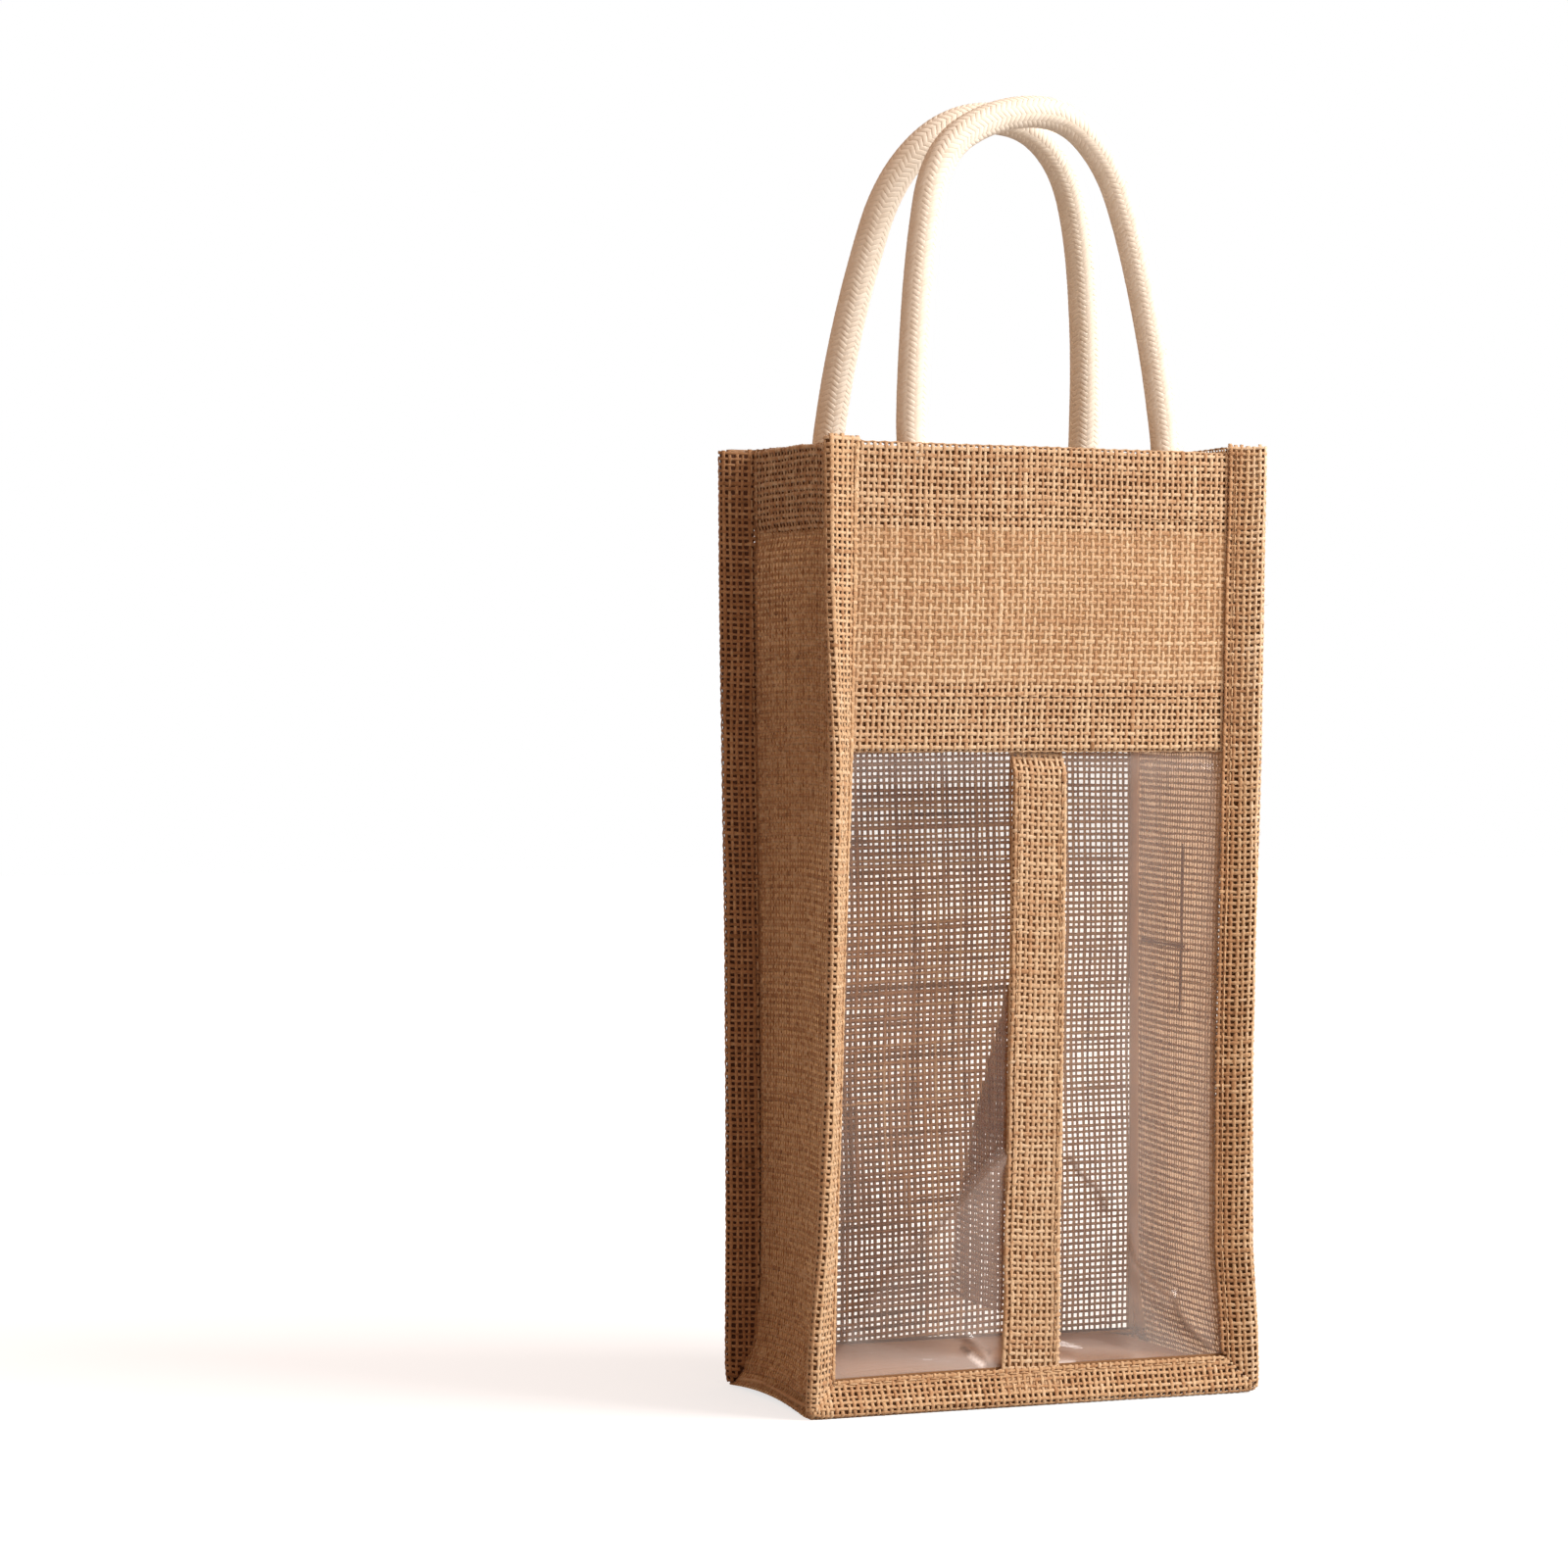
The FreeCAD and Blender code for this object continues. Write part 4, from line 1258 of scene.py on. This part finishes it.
def loose_fibres(places):
    """Short stray fibres that stand off the cloth."""
    yarns = Yarns(91)
    rng = yarns.rng
    places = np.concatenate(places)
    t = np.linspace(0, 1, 5)
    steps = t[:, None]
    for k in rng.integers(0, len(places), FIBRES):
        start, normal = places[k, :3], places[k, 3:]
        normal = normal * rng.choice((-1, 1))
        aside = unit(np.cross(normal, rng.normal(size=3)))
        curl = unit(np.cross(normal, aside))
        length = min(rng.gamma(2.2, 0.9), LONGEST_FIBRE)
        ahead = unit(normal * rng.uniform(0.2, 1.0) + aside)
        droop = (curl * rng.normal() - normal * 0.6) * steps**2 * length * 0.4
        line = start + normal * FIBRE_OFF + ahead * steps * length + droop
        way = lane(rng.random(), t)
        half = FIBRE_HALF * (1.15 - t)
        yarns.tube(line, curl, half, half, 4, rng.uniform(0.45, 1.0), way, (0.002, 0))
    dressed(yarns.made("loose_fibres", JUTE), "jute_cloth")


# Each handle's route from bend to bend, as (across, up) places; the photo's loops lie a little askew.
FRONT_ROUTE = (
    (-46.3, 356), (-45.0, 380), (-41.5, 418), (-34.8, 455), (-12.9, 470.4),
    (16.1, 473.4), (34.4, 455.5), (43.5, 428), (51.5, 388), (55.4, 356),
)
BACK_ROUTE = (
    (-52.2, 356), (-49.8, 384), (-44.5, 416), (-36.0, 450), (-15.0, 472.5),
    (14.0, 475), (33.5, 460), (43.5, 434), (50.5, 392), (53.2, 356),
)
FRONT_LEAN, BACK_LEAN = 3, 12  # in degrees, inwards
ROPE = 11.9
ROPE_BEND = 33.0  # in from the middle of the bag, where a handle bends at the rim
TAIL_PLACES = ((36.3, 322), (36.1, 336), (34.0, 349))  # in from the middle, up
CARRIERS = 12  # strands that go round each way
LEAD = 25.0  # a strand goes round once in this length
STRAND_HALF = 1.2
STRAND_FLAT_SHARE = 0.27
STRAND_SINK = 0.43
STRAND_WAVE = 0.09
CORE_OVER = 0.17
SQUASHED = (26, 12)  # from the ends of the rope: the tails get flat between these lengths
ROPE_STEP = 4  # the core and the declared path take each fourth place


def smooth_route(name, points):
    """Points close together on the smooth line that the route's points steer."""
    curve = bpy.data.curves.new(name, "CURVE")
    curve.dimensions = "3D"
    curve.resolution_u = 40
    spline = curve.splines.new("NURBS")
    spline.points.add(len(points) - 1)
    for at, point in zip(spline.points, points):
        at.co = (*(np.array(point) * MM), 1)
    spline.order_u = 3
    spline.use_endpoint_u = True
    holder = bpy.data.objects.new(name, curve)
    bpy.context.scene.collection.objects.link(holder)
    bpy.context.view_layer.update()
    mesh = bpy.data.meshes.new_from_object(holder.evaluated_get(bpy.context.evaluated_depsgraph_get()))
    line = np.array([v.co for v in mesh.vertices]) / MM
    bpy.data.objects.remove(holder)
    bpy.data.curves.remove(curve)
    bpy.data.meshes.remove(mesh)
    return line


def braided_rope(name, route, facing, lean, seed):
    """A braided handle: strands go round both ways, over two and under two, about a soft core."""
    turn = math.radians(lean)
    start, end = route[0], route[-1]
    arch = [(x, facing * (ROPE_BEND - (up - start[1]) * math.tan(turn)), up) for x, up in route]
    first = [(start[0], facing * inset, up) for inset, up in TAIL_PLACES]
    last = [(end[0], facing * inset, up) for inset, up in reversed(TAIL_PLACES)]
    line = smooth_route(name, first + arch + last)
    count = len(line)
    places = np.concatenate([[0], np.cumsum(np.linalg.norm(np.diff(line, axis=0), axis=1))])
    along = unit(np.gradient(line, axis=0))
    depth = np.array([0.0, math.cos(turn), facing * math.sin(turn)])
    across = unit(np.cross(along, depth))
    outward = unit(np.cross(across, along))
    squash = smooth(fraction(np.minimum(places, places[-1] - places), *SQUASHED))
    wide = (1 + 0.4 * squash)[:, None]
    thin = (1 - 0.5 * squash)[:, None]
    radius = ROPE / 2 - STRAND_SINK
    yarns = Yarns(seed)
    lanes = 2 * CARRIERS + 1
    spread = (0.4 / lanes, 0)
    for direction in (1, -1):
        for k in range(CARRIERS):
            angle = direction * places / LEAD * math.tau + k * math.tau / CARRIERS
            turns = places / LEAD * CARRIERS / 2 + direction * k / 2 + (1 - direction) / 4
            over = np.cos(turns * math.tau)
            cosine, sine = np.cos(angle)[:, None], np.sin(angle)[:, None]
            out = (radius + STRAND_WAVE * over)[:, None]
            centres = line + (cosine * across * wide + sine * outward * thin) * out
            normals = unit(cosine * across / wide + sine * outward / thin)
            half = STRAND_HALF * (1 + yarns.drift(count, 40, 0.05))
            # Painted shade: a strand is a little darker where it goes under the strands that cross it.
            tone = 0.62 + yarns.rng.normal() * 0.05 + yarns.drift(count, 30, 0.05) + 0.05 * over
            way = lane((k + (0 if direction > 0 else CARRIERS) + 0.5) / lanes, places / places[-1])
            yarns.tube(centres, normals, half, half * STRAND_FLAT_SHARE, 6, tone, way, spread)
    few = slice(None, None, ROPE_STEP)
    core = ((radius + CORE_OVER) * size[few, 0] for size in (wide, thin))
    way = lane(1 - 0.5 / lanes, places[few] / places[-1])
    yarns.tube(line[few], outward[few], *core, 12, 0.6, way, spread)
    return yarns.made(name, COTTON), line


def handle(side, route, facing, lean, seed):
    """A rope handle, from one sewn tail to the other."""
    rope, line = braided_rope(f"{side}_braided_rope", route, facing, lean, seed)
    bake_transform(rope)
    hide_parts(f"{side}_handle_rope", f"{side}_left_rope_tail", f"{side}_right_rope_tail")


AMBIENT = (0.46, 0.263, 0.166)
FLOOR_HALF_M = 6.0


def seen_ray(m):
    """1 for the rays that the eye follows straight, by gloss or through glass."""
    camera, gloss, glass = (
        m.add("ShaderNodeLightPath", {}, f"Is {ray} Ray") for ray in ("Camera", "Glossy", "Transmission")
    )
    return m.math("MAXIMUM", m.math("MAXIMUM", camera, gloss), glass)


def stage():
    """A pale floor and a white surround, which lights the bag with a warm, even light."""
    scene = bpy.context.scene
    scene.view_settings.view_transform = "Standard"
    mesh = bpy.data.meshes.new("floor")
    corners = [(FLOOR_HALF_M * x, FLOOR_HALF_M * y, 0) for x, y in ((-1, -1), (1, -1), (1, 1), (-1, 1))]
    mesh.from_pydata(corners, [], [(0, 1, 2, 3)])
    floor = bpy.data.objects.new("floor", mesh)
    scene.collection.objects.link(floor)
    m = Nodes("floor")
    where = m.add("ShaderNodeNewGeometry", {}, "Position")
    far = m.add("ShaderNodeVectorMath", {0: where}, "Value", operation="LENGTH")
    ends = {"From Min": 0.1, "From Max": 0.9, "To Min": 0.72, "To Max": 1.0}
    glow = m.math("MULTIPLY", m.add("ShaderNodeMapRange", {"Value": far, **ends}, 0), seen_ray(m))
    paint = m.shader("ShaderNodeBsdfDiffuse", (0.42, 0.415, 0.41))
    white = m.shader("ShaderNodeEmission", WHITE, Strength=glow)
    mesh.materials.append(m.done(m.add("ShaderNodeAddShader", {0: paint, 1: white}, 0)))
    w = Nodes("surround", bpy.data.worlds.new("surround"))
    scene.world = w.material
    colour = w.ramp(seen_ray(w), ((0.0, AMBIENT), (1.0, WHITE)))
    w.done(w.add("ShaderNodeBackground", {"Color": colour, "Strength": 1.0}, 0))


def looking(place, ahead):
    """A camera's or lamp's matrix at a place, with its view ahead and the horizon level."""
    ahead = ahead / np.linalg.norm(ahead)
    right = np.cross(ahead, (0, 0, 1))
    right = right / np.linalg.norm(right)
    up = np.cross(right, ahead)
    return Matrix([*np.stack([right, up, -ahead, place], axis=-1).tolist(), [0, 0, 0, 1]])


def lamp(name, kind, azimuth, elevation, distance, aim, watts, colour=WHITE, **settings):
    """A lamp that faces a height in the middle of the bag; azimuth 0 stands in front."""
    light = bpy.data.lights.new(name, kind)
    light.energy = watts
    light.color = colour
    for key, setting in settings.items():
        setattr(light, key, setting)
    a, e = math.radians(azimuth), math.radians(elevation)
    back = np.array([math.sin(a) * math.cos(e), -math.cos(a) * math.cos(e), math.sin(e)])
    made = bpy.data.objects.new(name, light)
    made.matrix_world = looking(back * distance + np.array([0, 0, aim]), -back)
    bpy.context.scene.collection.objects.link(made)


def lamps():
    """Soft light from the right, a little from the front, and some on the ropes from the left."""
    lamp("key", "AREA", azimuth=50, elevation=32, distance=1.8, aim=0.22, watts=50, size=1.1)
    lamp("front_fill", "AREA", azimuth=6, elevation=20, distance=2.2, aim=0.22, watts=9, size=1.4)
    beam = {"colour": (1.0, 0.93, 0.8), "spot_size": 0.2, "spot_blend": 1.0, "shadow_soft_size": 0.12}
    lamp("rope_fill", "SPOT", azimuth=-72, elevation=12, distance=1.0, aim=0.43, watts=7, **beam)


SENSOR = 36.0
PHOTO_WIDE = 1600  # the photo's width in pixels, in which the next three are given too
FOCAL = 4658
AIM_ASIDE, AIM_DOWN = 212, 56
CAMERA_AZIMUTH = -24.0
CAMERA_FAR_M, CAMERA_HIGH_M = 1.70, 0.246


def camera():
    """The photo's view: from the left of the front, with the bag right of the middle."""
    data = bpy.data.cameras.new("camera")
    data.sensor_width = SENSOR
    data.lens = SENSOR * FOCAL / PHOTO_WIDE
    a = math.radians(CAMERA_AZIMUTH)
    place = np.array([math.sin(a) * CAMERA_FAR_M, -math.cos(a) * CAMERA_FAR_M, CAMERA_HIGH_M])
    yaw = a + math.atan(AIM_ASIDE / FOCAL)
    pitch = math.atan(AIM_DOWN / FOCAL)
    ahead = np.array([-math.sin(yaw) * math.cos(pitch), math.cos(yaw) * math.cos(pitch), -math.sin(pitch)])
    made = bpy.data.objects.new("camera", data)
    made.matrix_world = looking(place, ahead)
    bpy.context.scene.collection.objects.link(made)
    bpy.context.scene.camera = made


camera()
stage()
lamps()
handle("front", FRONT_ROUTE, -1, FRONT_LEAN, 71)
handle("back", BACK_ROUTE, 1, BACK_LEAN, 72)
front_panel()
back_panel()
# The sides are one cloth: the left's darker yarns are painted shade, the right's lighter yarns and paler
# lining painted light.
side_wall("left_side_cloth", LEFT, seed=31, shade=0.45, cover=LEFT_SHARE, lining=LINING)
side_wall(
    "right_side_cloth",
    RIGHT,
    seed=32,
    shade=0.6,
    cover=right_cover,
    lining=WALL_LINING,
    lining_in=THIN,
    flat=0.7,
    dark_lines=RIGHT_DARK_LINES,
)
base_cloth()
# The seam edges carry painted shade, deeper at the back.
seam_core("front_seam_edges", FRONT, stub=0.1, material=SHADE_JUTE)
seam_core("back_seam_edges", BACK, stub=-1.0, material=DEEPER_SHADE_JUTE)
side_binding("front_left_tape", FRONT, LEFT, stub=2.2, cover=CLOSE_SHARE, shade=0.57, seed=41)
# The front right tape gets painted shade at its inner edge and painted light at its outer one.
side_binding(
    "front_right_tape",
    FRONT,
    RIGHT,
    stub=2.0,
    cover=0.64,
    shade=0.58,
    seed=42,
    start=RIGHT_LEAF_START,
    fade=0.32,
)
# The back left tape's darker yarns are partly a browner tape and partly painted shade of the back corner.
side_binding("back_left_tape", BACK, LEFT, stub=0.9, cover=0.6, shade=0.33, seed=43)
side_binding("back_right_tape", BACK, RIGHT, stub=1.5, cover=HEM_SHARE, shade=0.45, seed=44, **PLAIN_YARN)
bottom_binding("front_bottom_tape", FRONT, CLOSE_SHARE, 45)
bottom_binding("back_bottom_tape", BACK, HEM_SHARE, 46, **PLAIN_YARN)
centre_strip()
divider()
window_film()
stitches()
tail_stitches("front_tail_thread", -1, 82)
tail_stitches("back_tail_thread", 1, 83)
loose_fibres(FUZZY)
